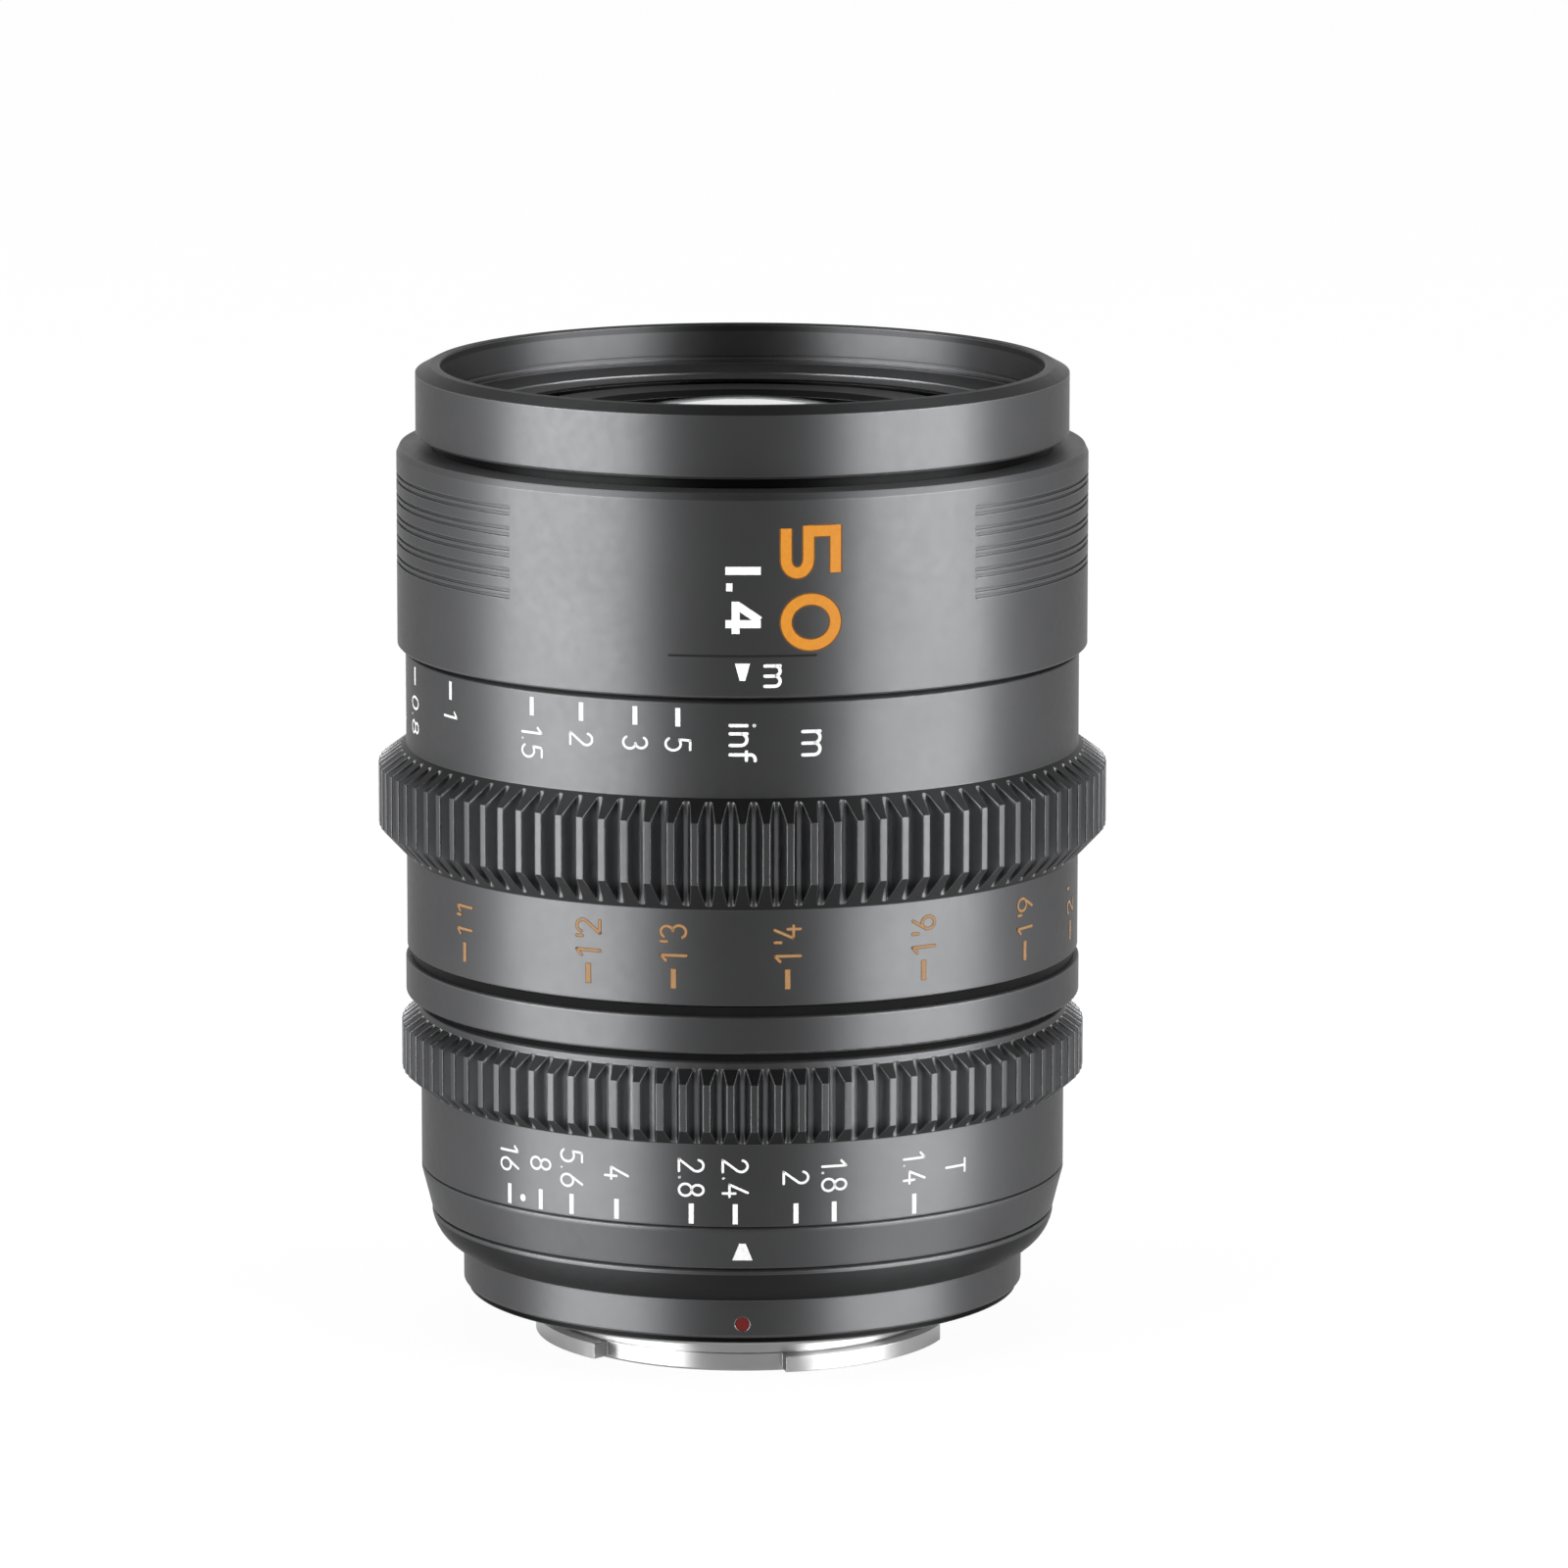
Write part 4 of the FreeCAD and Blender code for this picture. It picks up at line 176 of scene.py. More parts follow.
class Tree:
    """Makes and joins the nodes of one material or world."""

    def __init__(self, owner):
        owner.use_nodes = True
        self.nodes = owner.node_tree.nodes
        self.join = owner.node_tree.links.new
        self.nodes.clear()

    def add(self, kind, **settings):
        """New node with its settings."""
        node = self.nodes.new(kind)
        for key, value in settings.items():
            setattr(node, key, value)
        return node

    def principled(self, color, metallic, roughness, ior=PLAIN_IOR):
        """Output and Principled shader with its constants set on its own sockets."""
        output = self.add("ShaderNodeOutputMaterial")
        shader = self.add("ShaderNodeBsdfPrincipled")
        shader.inputs["Base Color"].default_value = (*color, 1.0)
        shader.inputs["Metallic"].default_value = metallic
        shader.inputs["Roughness"].default_value = roughness
        shader.inputs["IOR"].default_value = ior
        self.join(shader.outputs["BSDF"], output.inputs["Surface"])
        return shader

    def object_place(self):
        """Place in object space."""
        return self.add("ShaderNodeTexCoord").outputs["Object"]

    def math(self, operation, first, second=0.0):
        """Math node of two sockets or numbers; gives its output."""
        node = self.add("ShaderNodeMath", operation=operation)
        for entry, value in zip(node.inputs, (first, second)):
            if isinstance(value, float):
                entry.default_value = value
            else:
                self.join(value, entry)
        return node.outputs[0]

    def spread(self, value, ends, low=0.0, high=1.0, interpolation="LINEAR"):
        """Maps a value between two ends to the range low to high."""
        node = self.add("ShaderNodeMapRange", interpolation_type=interpolation)
        node.inputs["From Min"].default_value = ends[0]
        node.inputs["From Max"].default_value = ends[1]
        node.inputs["To Min"].default_value = low
        node.inputs["To Max"].default_value = high
        self.join(value, node.inputs["Value"])
        return node.outputs["Result"]

    def noise(self, place, scale, detail=3.0, stretch=(1.0, 1.0, 1.0)):
        """Noise value at a place; stretch flattens it along an axis."""
        mapping = self.add("ShaderNodeMapping")
        mapping.inputs["Scale"].default_value = stretch
        self.join(place, mapping.inputs["Vector"])
        texture = self.add("ShaderNodeTexNoise")
        texture.inputs["Scale"].default_value = scale
        texture.inputs["Detail"].default_value = detail
        self.join(mapping.outputs["Vector"], texture.inputs["Vector"])
        return texture.outputs["Fac"]

    def tinted(self, value, dark, light):
        """Colour between dark and light."""
        node = self.add("ShaderNodeValToRGB")
        for element, position, color in zip(node.color_ramp.elements, TINT_ENDS, (dark, light)):
            element.position = position
            element.color = (*color, 1.0)
        self.join(value, node.inputs["Fac"])
        return node.outputs["Color"]

    def mixed(self, share, first, second):
        """Mix of a socket's colour and a constant one, by their share."""
        node = self.add("ShaderNodeMix", data_type="RGBA")
        self.join(share, node.inputs["Factor"])
        self.join(first, node.inputs[MIX_FIRST])
        node.inputs[MIX_SECOND].default_value = (*second, 1.0)
        return node.outputs[MIX_RESULT]

    def bump(self, height, strength, depth, normal=None):
        """Normal that is bent by a height."""
        node = self.add("ShaderNodeBump")
        node.inputs["Strength"].default_value = strength
        node.inputs["Distance"].default_value = depth
        self.join(height, node.inputs["Height"])
        if normal is not None:
            self.join(normal, node.inputs["Normal"])
        return node.outputs["Normal"]

    def in_band(self, place, normal, band):
        """Value that is 1 in the band."""
        split = self.add("ShaderNodeSeparateXYZ")
        self.join(place, split.inputs["Vector"])
        height = split.outputs["Z"]
        above = self.math("GREATER_THAN", height, band.low)
        below = self.math("LESS_THAN", height, band.high)
        inside = self.math("MULTIPLY", above, below)
        if band.where == "everything":
            return inside
        facing = self.add("ShaderNodeSeparateXYZ")
        self.join(normal, facing.inputs["Vector"])
        slope = self.math("ABSOLUTE", facing.outputs["Z"])
        if band.where == "slopes":
            return self.math("MULTIPLY", inside, self.math("GREATER_THAN", slope, STEEP))
        rise = self.spread(height, (band.low, band.low + BAND_SOFT_END), interpolation="SMOOTHSTEP")
        fall = self.spread(height, (band.high, band.high - BAND_SOFT_END), interpolation="SMOOTHSTEP")
        flat = self.add("ShaderNodeCombineXYZ")
        self.join(split.outputs["X"], flat.inputs["X"])
        self.join(split.outputs["Y"], flat.inputs["Y"])
        radius = self.add("ShaderNodeVectorMath", operation="LENGTH")
        self.join(flat.outputs[0], radius.inputs[0])
        wall = self.math("LESS_THAN", slope, STEEP)
        deep = self.math("LESS_THAN", radius.outputs["Value"], band.radius)
        return self.math("MULTIPLY", self.math("MULTIPLY", rise, fall), self.math("MULTIPLY", wall, deep))


def new_material(name):
    """A new material and its empty tree."""
    material = bpy.data.materials.new(name)
    return material, Tree(material)


def turned_metal(name, color, roughness, edge=0.0, grain=1.0, metallic=1.0, bevel=BEVEL_RADIUS, brushed=0.0,
                 bands=(), lines=1.0):
    """Anodised or bare turned metal: blasted grain, faint turning lines, softened edges."""
    material, tree = new_material(name)
    shader = tree.principled(color, metallic, roughness)
    shader.inputs["Specular Tint"].default_value = (*GRAZING_TINT, 1.0)
    place = tree.object_place()
    if brushed > 0.0:
        around = tree.add("ShaderNodeTangent", direction_type="RADIAL", axis="Z")
        tree.join(around.outputs["Tangent"], shader.inputs["Tangent"])
        shader.inputs["Anisotropic"].default_value = brushed
        shader.inputs["Anisotropic Rotation"].default_value = ACROSS_THE_TURNING
    cloud = tree.noise(place, CLOUD_SCALE)
    shade = tree.tinted(cloud, scaled(color, CLOUD_DARK), scaled(color, CLOUD_LIGHT))
    uneven = tree.noise(place, ROUGHNESS_SCALE)
    rough = tree.spread(uneven, NOISE_ENDS, roughness - ROUGHNESS_DOWN, roughness + ROUGHNESS_UP)
    tree.join(rough, shader.inputs["Roughness"])

    grain_height = tree.noise(place, GRAIN_SCALE, GRAIN_DETAIL)
    line_height = tree.noise(place, TURNING_SCALE, TURNING_DETAIL, TURNING_STRETCH)
    soft = tree.add("ShaderNodeBevel", samples=BEVEL_SAMPLES)
    soft.inputs["Radius"].default_value = bevel
    rounded = soft.outputs["Normal"]
    lined = tree.bump(line_height, TURNING_STRENGTH * lines, BUMP_DEPTH, rounded)
    tree.join(tree.bump(grain_height, GRAIN_STRENGTH * grain, BUMP_DEPTH, lined), shader.inputs["Normal"])

    if edge > 0.0:
        normal = tree.add("ShaderNodeNewGeometry").outputs["Normal"]
        # Bands of painted shade where their share is below 1, and of painted light where it is above
        for band in bands:
            shade = tree.mixed(tree.in_band(place, normal, band), shade, scaled(color, band.share))
        # Edges painted lighter where the rounded normal leaves the flat one: wear and painted highlight
        cosine = tree.add("ShaderNodeVectorMath", operation="DOT_PRODUCT")
        tree.join(rounded, cosine.inputs[0])
        tree.join(normal, cosine.inputs[1])
        worn_and_highlit = tree.spread(cosine.outputs["Value"], WEAR_AND_HIGHLIGHT_ENDS, 0.0, edge)
        shade = tree.mixed(worn_and_highlit, shade, scaled(color, WEAR_AND_HIGHLIGHT_SHARE, WEAR_AND_HIGHLIGHT_LIFT))
    tree.join(shade, shader.inputs["Base Color"])
    return material


def shell_metal(name, edge=SHELL_EDGE, bands=()):
    """Finish of the outer shell, with its bands of painted shade and light."""
    return turned_metal(name, SHELL_COLOR, SHELL_ROUGHNESS, edge=edge, metallic=SHELL_METALLIC,
                        bevel=SHELL_BEVEL, brushed=SHELL_BRUSHED, bands=bands)


def black_metal(name, color=BLACK_COLOR, bands=()):
    """Black finish of the pieces in the mouth and the gaps, with its bands of painted shade and light."""
    return turned_metal(name, color, BLACK_ROUGHNESS, edge=BLACK_EDGE, brushed=BLACK_BRUSHED, bands=bands)


def matt(name, color, roughness, specular, dark_share, cloud_scale, bump_scale, strength, depth):
    """Opaque surface that is no metal: slightly uneven colour and a fine grain."""
    material, tree = new_material(name)
    shader = tree.principled(color, 0.0, roughness)
    shader.inputs["Specular IOR Level"].default_value = specular
    place = tree.object_place()
    shade = tree.tinted(tree.noise(place, cloud_scale), scaled(color, dark_share), color)
    tree.join(shade, shader.inputs["Base Color"])
    tree.join(tree.bump(tree.noise(place, bump_scale), strength, depth), shader.inputs["Normal"])
    return material


def painted(name, color, roughness=PAINT_ROUGHNESS):
    """Paint that fills an engraving."""
    return matt(name, color, roughness, **PAINT)


def moulded(name, color, roughness):
    """Moulded plastic."""
    return matt(name, color, roughness, **PLASTIC)


def coated_glass(name, tint):
    """Polished glass with a thin coating."""
    material, tree = new_material(name)
    shader = tree.principled(tint, 0.0, 0.0, ior=GLASS_IOR)
    shader.inputs["Transmission Weight"].default_value = 1.0
    shader.inputs["Thin Film Thickness"].default_value = COATING_NM
    shader.inputs["Thin Film IOR"].default_value = COATING_IOR
    haze = tree.noise(tree.object_place(), HAZE_SCALE)
    tree.join(tree.spread(haze, HAZE_ENDS, 0.0, HAZE_ROUGHNESS), shader.inputs["Roughness"])
    return material


materials = {
    "anodised_shell": shell_metal("anodised_shell"),
    "black_anodised": black_metal("black_anodised"),
    "coated_glass": coated_glass("coated_glass", (0.70, 0.72, 0.71)),
    "inner_aluminium": turned_metal("inner_aluminium", (0.45, 0.45, 0.46), 0.32),
    "steel_fasteners": turned_metal("steel_fasteners", (0.42, 0.42, 0.43), 0.25, edge=0.3),
    "washer_plastic": moulded("washer_plastic", (0.004, 0.004, 0.004), 0.5),
    "brass_followers": turned_metal("brass_followers", (0.66, 0.47, 0.2), 0.28),
    "blackened_brass": turned_metal("blackened_brass", (0.05, 0.046, 0.04), 0.42),
    "blackened_steel": turned_metal("blackened_steel", (0.035, 0.035, 0.037), 0.4),
    "chrome_mount": turned_metal("chrome_mount", (0.53, 0.53, 0.53), 0.3, grain=0.3, lines=2.5,
                                 brushed=0.75),
    "red_index": painted("red_index", (0.062, 0.003, 0.002), 0.4),
    "baffle_plastic": moulded("baffle_plastic", (0.01, 0.01, 0.01), 0.6),
}
for part in frame["record"]["subparts"]:
    mesh = frame["nodes"][part["node"]].data
    mesh.materials.clear()
    mesh.materials.append(materials[part["material_slot"]])
for node, (color, bands) in MOUTH_COLOR_SHADE_AND_LIGHT.items():
    frame["nodes"][node].data.materials[0] = black_metal(node + "_black", color, bands)
for node, bands in SHELL_SHADE_AND_LIGHT_BANDS.items():
    edge = GEAR_EDGE if node in GEAR_NODES else SHELL_EDGE
    frame["nodes"][node].data.materials[0] = shell_metal(node + "_shell", edge, bands)

white_paint = painted("white_paint", (0.42, 0.42, 0.42))
orange_paint = painted("orange_paint", (0.30, 0.113, 0.006))
pale_orange = painted("pale_orange", (0.17, 0.095, 0.04))
# Darker orange under the orange marks: painted shade of the engraving's walls
orange_engraving_shade = painted("orange_engraving_shade", (0.075, 0.030, 0.004))
dark_line = painted("dark_line", (0.004, 0.004, 0.004))

# Painted marks: how far they stand out of and sink into the ring, and the sizes that they share
PAINT_LIFT_MM = 0.022
PAINT_SINK_MM = 0.05
SMALL_STROKE_MM = 0.27
SMALL_CAP_MM = 2.66
LETTER_STROKE_MM = 0.36
TICK_WIDTH_MM = 0.54

# Gaps between signs, in cap heights; thin signs take the smaller one
LETTER_GAP = 0.33
DOT_GAP = 0.26
THIN_SIGNS = ".'i"

# Arcs have this many steps in half a turn; a disc stops short of the full turn, where it closes itself
ARC_STEPS = 14
FEWEST_ARC_STEPS = 3
DISC_END_DEG = 350
# A straight run is no longer than this, so that it doesn't cut through the curved surface
LONGEST_RUN_MM = 0.6
CLOSED_WITHIN_MM = 1e-6


def arc(center, radius, start, end, squash=1.0):
    """Points on an arc, angles in degrees from +x towards +y; squash scales it along y."""
    steps = max(FEWEST_ARC_STEPS, int(ARC_STEPS * abs(end - start) / 180.0))
    points = []
    for i in range(steps + 1):
        a = math.radians(start + (end - start) * i / steps)
        points.append((center[0] + radius * math.cos(a), center[1] + squash * radius * math.sin(a)))
    return points


def disc(center, radius):
    """Outline of a disc."""
    return arc(center, radius, 0, DISC_END_DEG)


def trapezoid(bottom_width, top_width, height):
    """Outline of an upright trapezoid that stands on its place."""
    low, high = bottom_width / 2.0, top_width / 2.0
    return [(-low, 0.0), (low, 0.0), (high, height), (-high, height)]


def split_long(points):
    """Adds points, so that no run is too long."""
    line = [points[0]]
    for start, end in zip(points, points[1:]):
        parts = max(1, math.ceil(math.dist(start, end) / LONGEST_RUN_MM))
        for i in range(1, parts + 1):
            share = i / parts
            line.append((start[0] + (end[0] - start[0]) * share, start[1] + (end[1] - start[1]) * share))
    return line


# Strokes of each sign in a box 1 high; the number is its width
SIGNS = {
    "0": (0.49, [arc((0.245, 0.5), 0.245, 0, 360, 0.5 / 0.245)]),
    "1": (0.21, [[(0.0, 0.80), (0.21, 1.0)], [(0.21, 1.0), (0.21, 0.0)]]),
    "2": (0.49, [arc((0.245, 0.74), 0.235, 165, -35, 1.1) + [(0.0, 0.0)], [(0.0, 0.0), (0.49, 0.0)]]),
    "3": (0.49, [arc((0.225, 0.755), 0.225, 150, -80, 1.09), arc((0.235, 0.27), 0.25, 80, -150, 1.08)]),
    "4": (0.49, [[(0.33, 1.0), (0.0, 0.27)], [(0.0, 0.27), (0.49, 0.27)], [(0.36, 0.5), (0.36, 0.0)]]),
    "5": (0.49, [[(0.44, 1.0), (0.07, 1.0)], [(0.07, 1.0), (0.04, 0.56)],
                 [(0.04, 0.56)] + arc((0.22, 0.31), 0.26, 105, -145, 1.19)]),
    "6": (0.49, [arc((0.245, 0.29), 0.245, 0, 360, 1.18), [(0.36, 1.0), (0.05, 0.46)]]),
    "7": (0.47, [[(0.0, 1.0), (0.47, 1.0)], [(0.47, 1.0), (0.16, 0.0)]]),
    "8": (0.49, [arc((0.245, 0.76), 0.205, 0, 360, 1.17), arc((0.245, 0.26), 0.245, 0, 360, 1.06)]),
    "9": (0.49, [arc((0.245, 0.71), 0.245, 0, 360, 1.18), [(0.13, 0.0), (0.44, 0.54)]]),
    ".": (0.0, [[(0.0, 0.02), (0.0, 0.03)]]),
    "'": (0.3, [[(0.34, 1.0), (0.34, 0.76)]]),
    "i": (0.0, [[(0.0, 0.0), (0.0, 0.68)], [(0.0, 0.98), (0.0, 0.99)]]),
    "n": (0.48, [[(0.0, 0.0), (0.0, 0.68)], arc((0.24, 0.44), 0.24, 180, 0) + [(0.48, 0.0)]]),
    "f": (0.36, [[(0.36, 1.02)] + arc((0.32, 0.84), 0.2, 90, 180, 0.9) + [(0.12, 0.0)],
                 [(0.0, 0.66), (0.34, 0.66)]]),
    "m": (0.95, [[(0.0, 0.0), (0.0, 0.70)], arc((0.2375, 0.4625), 0.2375, 180, 0) + [(0.475, 0.0)],
                 arc((0.7125, 0.4625), 0.2375, 180, 0) + [(0.95, 0.0)]]),
    "T": (0.52, [[(0.0, 1.0), (0.52, 1.0)], [(0.26, 1.0), (0.26, 0.0)]]),
}

# Wide signs with square ends, of the focal length on the barrel
WIDE_SIGNS = {
    "5": (0.86, [[(0.84, 1.0), (-0.11, 1.0)], [(0.0, 1.0), (0.0, 0.45)],
                 [(-0.11, 0.45), (0.5, 0.45)] + arc((0.56, 0.225), 0.27, 85, -85, 0.83)
                 + [(0.5, 0.0), (-0.06, 0.0)]]),
    "0": (0.92, [arc((0.46, 0.5), 0.46, 0, 360, 0.5 / 0.46)]),
}

# Bold signs with square ends, of the widest stop on the barrel
BOLD_SIGNS = {
    "1": (0.0, [[(0.0, 1.0), (0.0, 0.0)]]),
    ".": (0.0, [[(0.0, 0.02), (0.0, 0.2)]]),
    "4": (0.84, [[(0.48, 0.97), (0.06, 0.36)], [(-0.06, 0.29), (0.86, 0.29)], [(0.58, 1.0), (0.58, 0.0)]]),
}


def lettering(words, signs=SIGNS, gap=LETTER_GAP, dot_gap=DOT_GAP):
    """Start and strokes of each sign of the words, and their length, all in cap heights."""
    placed = []
    along = 0.0
    for k, letter in enumerate(words):
        width, strokes = signs[letter]
        placed.append((along, strokes))
        along += width
        if k + 1 < len(words):
            narrow = letter in THIN_SIGNS or words[k + 1] in THIN_SIGNS
            along += dot_gap if narrow else gap
    return placed, along


class Decal:
    """Thin painted shapes, drawn flat in millimetres and wrapped on a cylinder or cone.

    A cylinder is given by its radius, a cone by a radius and a height at each end.
    """

    def __init__(self, radius=None, low=None, high=None):
        self.low = low or (radius, 0.0)
        self.high = high or (radius, 1.0)
        self.verts = []
        self.faces = []

    def radius(self, z):
        """Radius of the carrying surface at the height z."""
        share = (z - self.low[1]) / (self.high[1] - self.low[1])
        return self.low[0] + share * (self.high[0] - self.low[0])

    def wrap(self, theta, z, across, lift):
        """Place on the surface: across is the distance in mm to the right of the angle theta."""
        r = self.radius(z)
        a = math.radians(theta) + across / r
        out = r + lift
        return (out * math.sin(a) * MM, -out * math.cos(a) * MM, z * MM)

    def slab(self, outline, theta, z):
        """Solid plate from a convex outline of (across, up) points."""
        base = len(self.verts)
        count = len(outline)
        for lift in (PAINT_LIFT_MM, -PAINT_SINK_MM):
            for across, up in outline:
                self.verts.append(self.wrap(theta, z + up, across, lift))
        self.faces.append(tuple(range(base, base + count)))
        for i in range(count):
            j = (i + 1) % count
            self.faces.append((base + j, base + i, base + count + i, base + count + j))

    def stroke(self, points, width, theta, z, round_ends=True):
        """Ribbon of one width along points; ends are round or cut square."""
        closed = math.dist(points[0], points[-1]) < CLOSED_WITHIN_MM
        line = split_long(points)
        if closed:
            line = line[:-1]
        count = len(line)
        half = width / 2.0
        normals = []
        for i in range(count):
            before = line[i - 1] if (i > 0 or closed) else line[i]
            after = line[(i + 1) % count] if (i < count - 1 or closed) else line[i]
            dx, dy = after[0] - before[0], after[1] - before[1]
            size = math.hypot(dx, dy) or 1.0
            normals.append((-dy / size * half, dx / size * half))
        spans = count if closed else count - 1
        for i in range(spans):
            j = (i + 1) % count
            a, b = line[i], line[j]
            na, nb = normals[i], normals[j]
            self.slab([(a[0] - na[0], a[1] - na[1]), (b[0] - nb[0], b[1] - nb[1]),
                       (b[0] + nb[0], b[1] + nb[1]), (a[0] + na[0], a[1] + na[1])], theta, z)
        if round_ends and not closed:
            for i in (0, count - 1):
                self.slab(disc(line[i], half), theta, z)

    def text(self, words, theta, start_z, cap, width, signs=SIGNS, upwards=False, gap=LETTER_GAP,
             dot_gap=DOT_GAP, round_ends=True):
        """Writes along the lens axis: downwards, turned clockwise, or upwards, turned the other way."""
        turn = 1.0 if upwards else -1.0
        for along, strokes in lettering(words, signs, gap, dot_gap)[0]:
            for points in strokes:
                flat = [(-turn * (py - 0.5) * cap, turn * (px + along) * cap) for px, py in points]
                self.stroke(flat, width, theta, start_z, round_ends)

    def tick(self, theta, top, bottom, width):
        """Upright bar."""
        half = width / 2.0
        self.slab([(-half, bottom - top), (half, bottom - top), (half, 0.0), (-half, 0.0)], theta, top)

    def build(self, name, material, body):
        """Makes the mesh and lets it ride on a body."""
        mesh = bpy.data.meshes.new(name)
        mesh.from_pydata(self.verts, [], self.faces)
        mesh.materials.append(material)
        mesh.validate()
        mesh.update()
        piece = bpy.data.objects.new(name, mesh)
        bpy.context.scene.collection.objects.link(piece)
        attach(piece, body)


def layer_radius(radius, grow):
    """Radius for a mark, or half a lift lower for the wider edge of painted shade under it."""
    return radius - 0.5 * PAINT_LIFT_MM if grow > 0.0 else radius


# Law of the distance scales: the angle from infinity, in degrees, is the throw over the distance in metres
# less an offset
THROW_LAW_DEG = 52.9
THROW_LAW_OFFSET = 0.098
FOOT = 0.3048


def throw_angle(distance):
    """Angle between the infinity mark and the mark of a distance in metres."""
    return THROW_LAW_DEG / (distance - THROW_LAW_OFFSET)


# Metre scale on the focus ring: marks that the photo shows, and those that follow round the back
METRE_MARKS = [("0.8", -74.5), ("1", -58.4), ("1.5", -37.5), ("2", -27.7), ("3", -18.0), ("5", -10.7)]
METRE_BACK = ("0.7", "0.6", "0.5", "0.45", "0.4", "0.35")
METRE_TICK_TOP_MM, METRE_TICK_BOTTOM_MM = 71.6, 69.6
METRE_TEXT_MM = 68.3
METRE_INFINITY_MM, METRE_INFINITY_CAP_MM, METRE_INFINITY_GAP = 69.8, 2.6, 0.27
INFINITY_DOT_GAP = 0.34
METRE_UNIT_DEG, METRE_UNIT_MM, METRE_UNIT_CAP_MM = 12.05, 69.07, 2.65
metre_scale = Decal(FOCUS_RING_R_MM)
for distance in METRE_BACK:
    METRE_MARKS.append((distance, -throw_angle(float(distance))))
for words, theta in METRE_MARKS:
    metre_scale.tick(theta, METRE_TICK_TOP_MM, METRE_TICK_BOTTOM_MM, TICK_WIDTH_MM)
    metre_scale.text(words, theta, METRE_TEXT_MM, SMALL_CAP_MM, SMALL_STROKE_MM)
metre_scale.text("inf", 0.0, METRE_INFINITY_MM, METRE_INFINITY_CAP_MM, LETTER_STROKE_MM,
                 gap=METRE_INFINITY_GAP, dot_gap=INFINITY_DOT_GAP)
metre_scale.text("m", METRE_UNIT_DEG, METRE_UNIT_MM, METRE_UNIT_CAP_MM, LETTER_STROKE_MM)
metre_scale.build("metre_scale", white_paint, "focus_drive")

# Feet scale on the focus ring, with a darker edge round each mark, painted shade of the engraving's walls;
# its infinity is at the back
FEET_MARKS = [("1'1", -54.3), ("1'2", -26.5), ("1'3", -11.5), ("1'4", 7.5), ("1'6", 31.7), ("1'9", 55.8),
              ("2'", 75.9)]
FEET_BACK = (("2'6", 2.5), ("3'", 3.0), ("4'", 4.0), ("5'", 5.0), ("7'", 7.0), ("10'", 10.0), ("20'", 20.0))
FEET_TICK_TOP_MM, FEET_TICK_BOTTOM_MM = 43.35, 41.25
FEET_TEXT_MM = 44.25
FEET_CAP_MM, FEET_DOT_GAP = 2.75, 0.2
FEET_INFINITY_DEG, FEET_INFINITY_GAP = 180.0, 0.26
FEET_SHADE_MM = 0.12
for words, feet in FEET_BACK:
    FEET_MARKS.append((words, FEET_INFINITY_DEG - throw_angle(feet * FOOT)))
FEET_LAYERS = (("feet_scale", pale_orange, 0.0), ("feet_scale_painted_shade", orange_engraving_shade, FEET_SHADE_MM))
for name, material, grow in FEET_LAYERS:
    feet_scale = Decal(layer_radius(FOCUS_RING_R_MM, grow))
    stroke_width = SMALL_STROKE_MM + grow
    for words, theta in FEET_MARKS:
        feet_scale.tick(theta, FEET_TICK_TOP_MM + 0.5 * grow, FEET_TICK_BOTTOM_MM - 0.5 * grow,
                        TICK_WIDTH_MM + grow)
        feet_scale.text(words, theta, FEET_TEXT_MM, FEET_CAP_MM, stroke_width, upwards=True,
                        dot_gap=FEET_DOT_GAP)
    feet_scale.text("inf", FEET_INFINITY_DEG, FEET_TEXT_MM, FEET_CAP_MM, stroke_width, upwards=True,
                    gap=FEET_INFINITY_GAP, dot_gap=INFINITY_DOT_GAP)
    feet_scale.build(name, material, "focus_drive")

# Scale on the iris ring, with its letter and a dot between the two narrowest stops
STOP_MARKS = (("1.4", 31.4), ("1.8", 16.1), ("2", 9.3), ("2.4", -1.25), ("2.8", -8.9), ("4", -22.4),
              ("5.6", -31.2), ("8", -37.8), ("16", -45.15))
STOP_TEXT_MM = 20.33
STOP_TICK_TOP_MM, STOP_TICK_BOTTOM_MM = 17.5, 15.3
STOP_LETTER_DEG, STOP_LETTER_MM = 40.4, 20.5
STOP_DOT_DEG, STOP_DOT_MM, STOP_DOT_R_MM = -41.9, 16.2, 0.4
stop_scale = Decal(IRIS_RING_R_MM)
for words, theta in STOP_MARKS:
    length = lettering(words)[1] * SMALL_CAP_MM
    stop_scale.tick(theta, STOP_TICK_TOP_MM, STOP_TICK_BOTTOM_MM, TICK_WIDTH_MM)
    stop_scale.text(words, theta, STOP_TEXT_MM + 0.5 * length, SMALL_CAP_MM, SMALL_STROKE_MM)
stop_scale.text("T", STOP_LETTER_DEG, STOP_LETTER_MM, SMALL_CAP_MM, SMALL_STROKE_MM)
stop_scale.slab(disc((0.0, 0.0), STOP_DOT_R_MM), STOP_DOT_DEG, STOP_DOT_MM)
stop_scale.build("stop_scale", white_paint, "iris_drive")

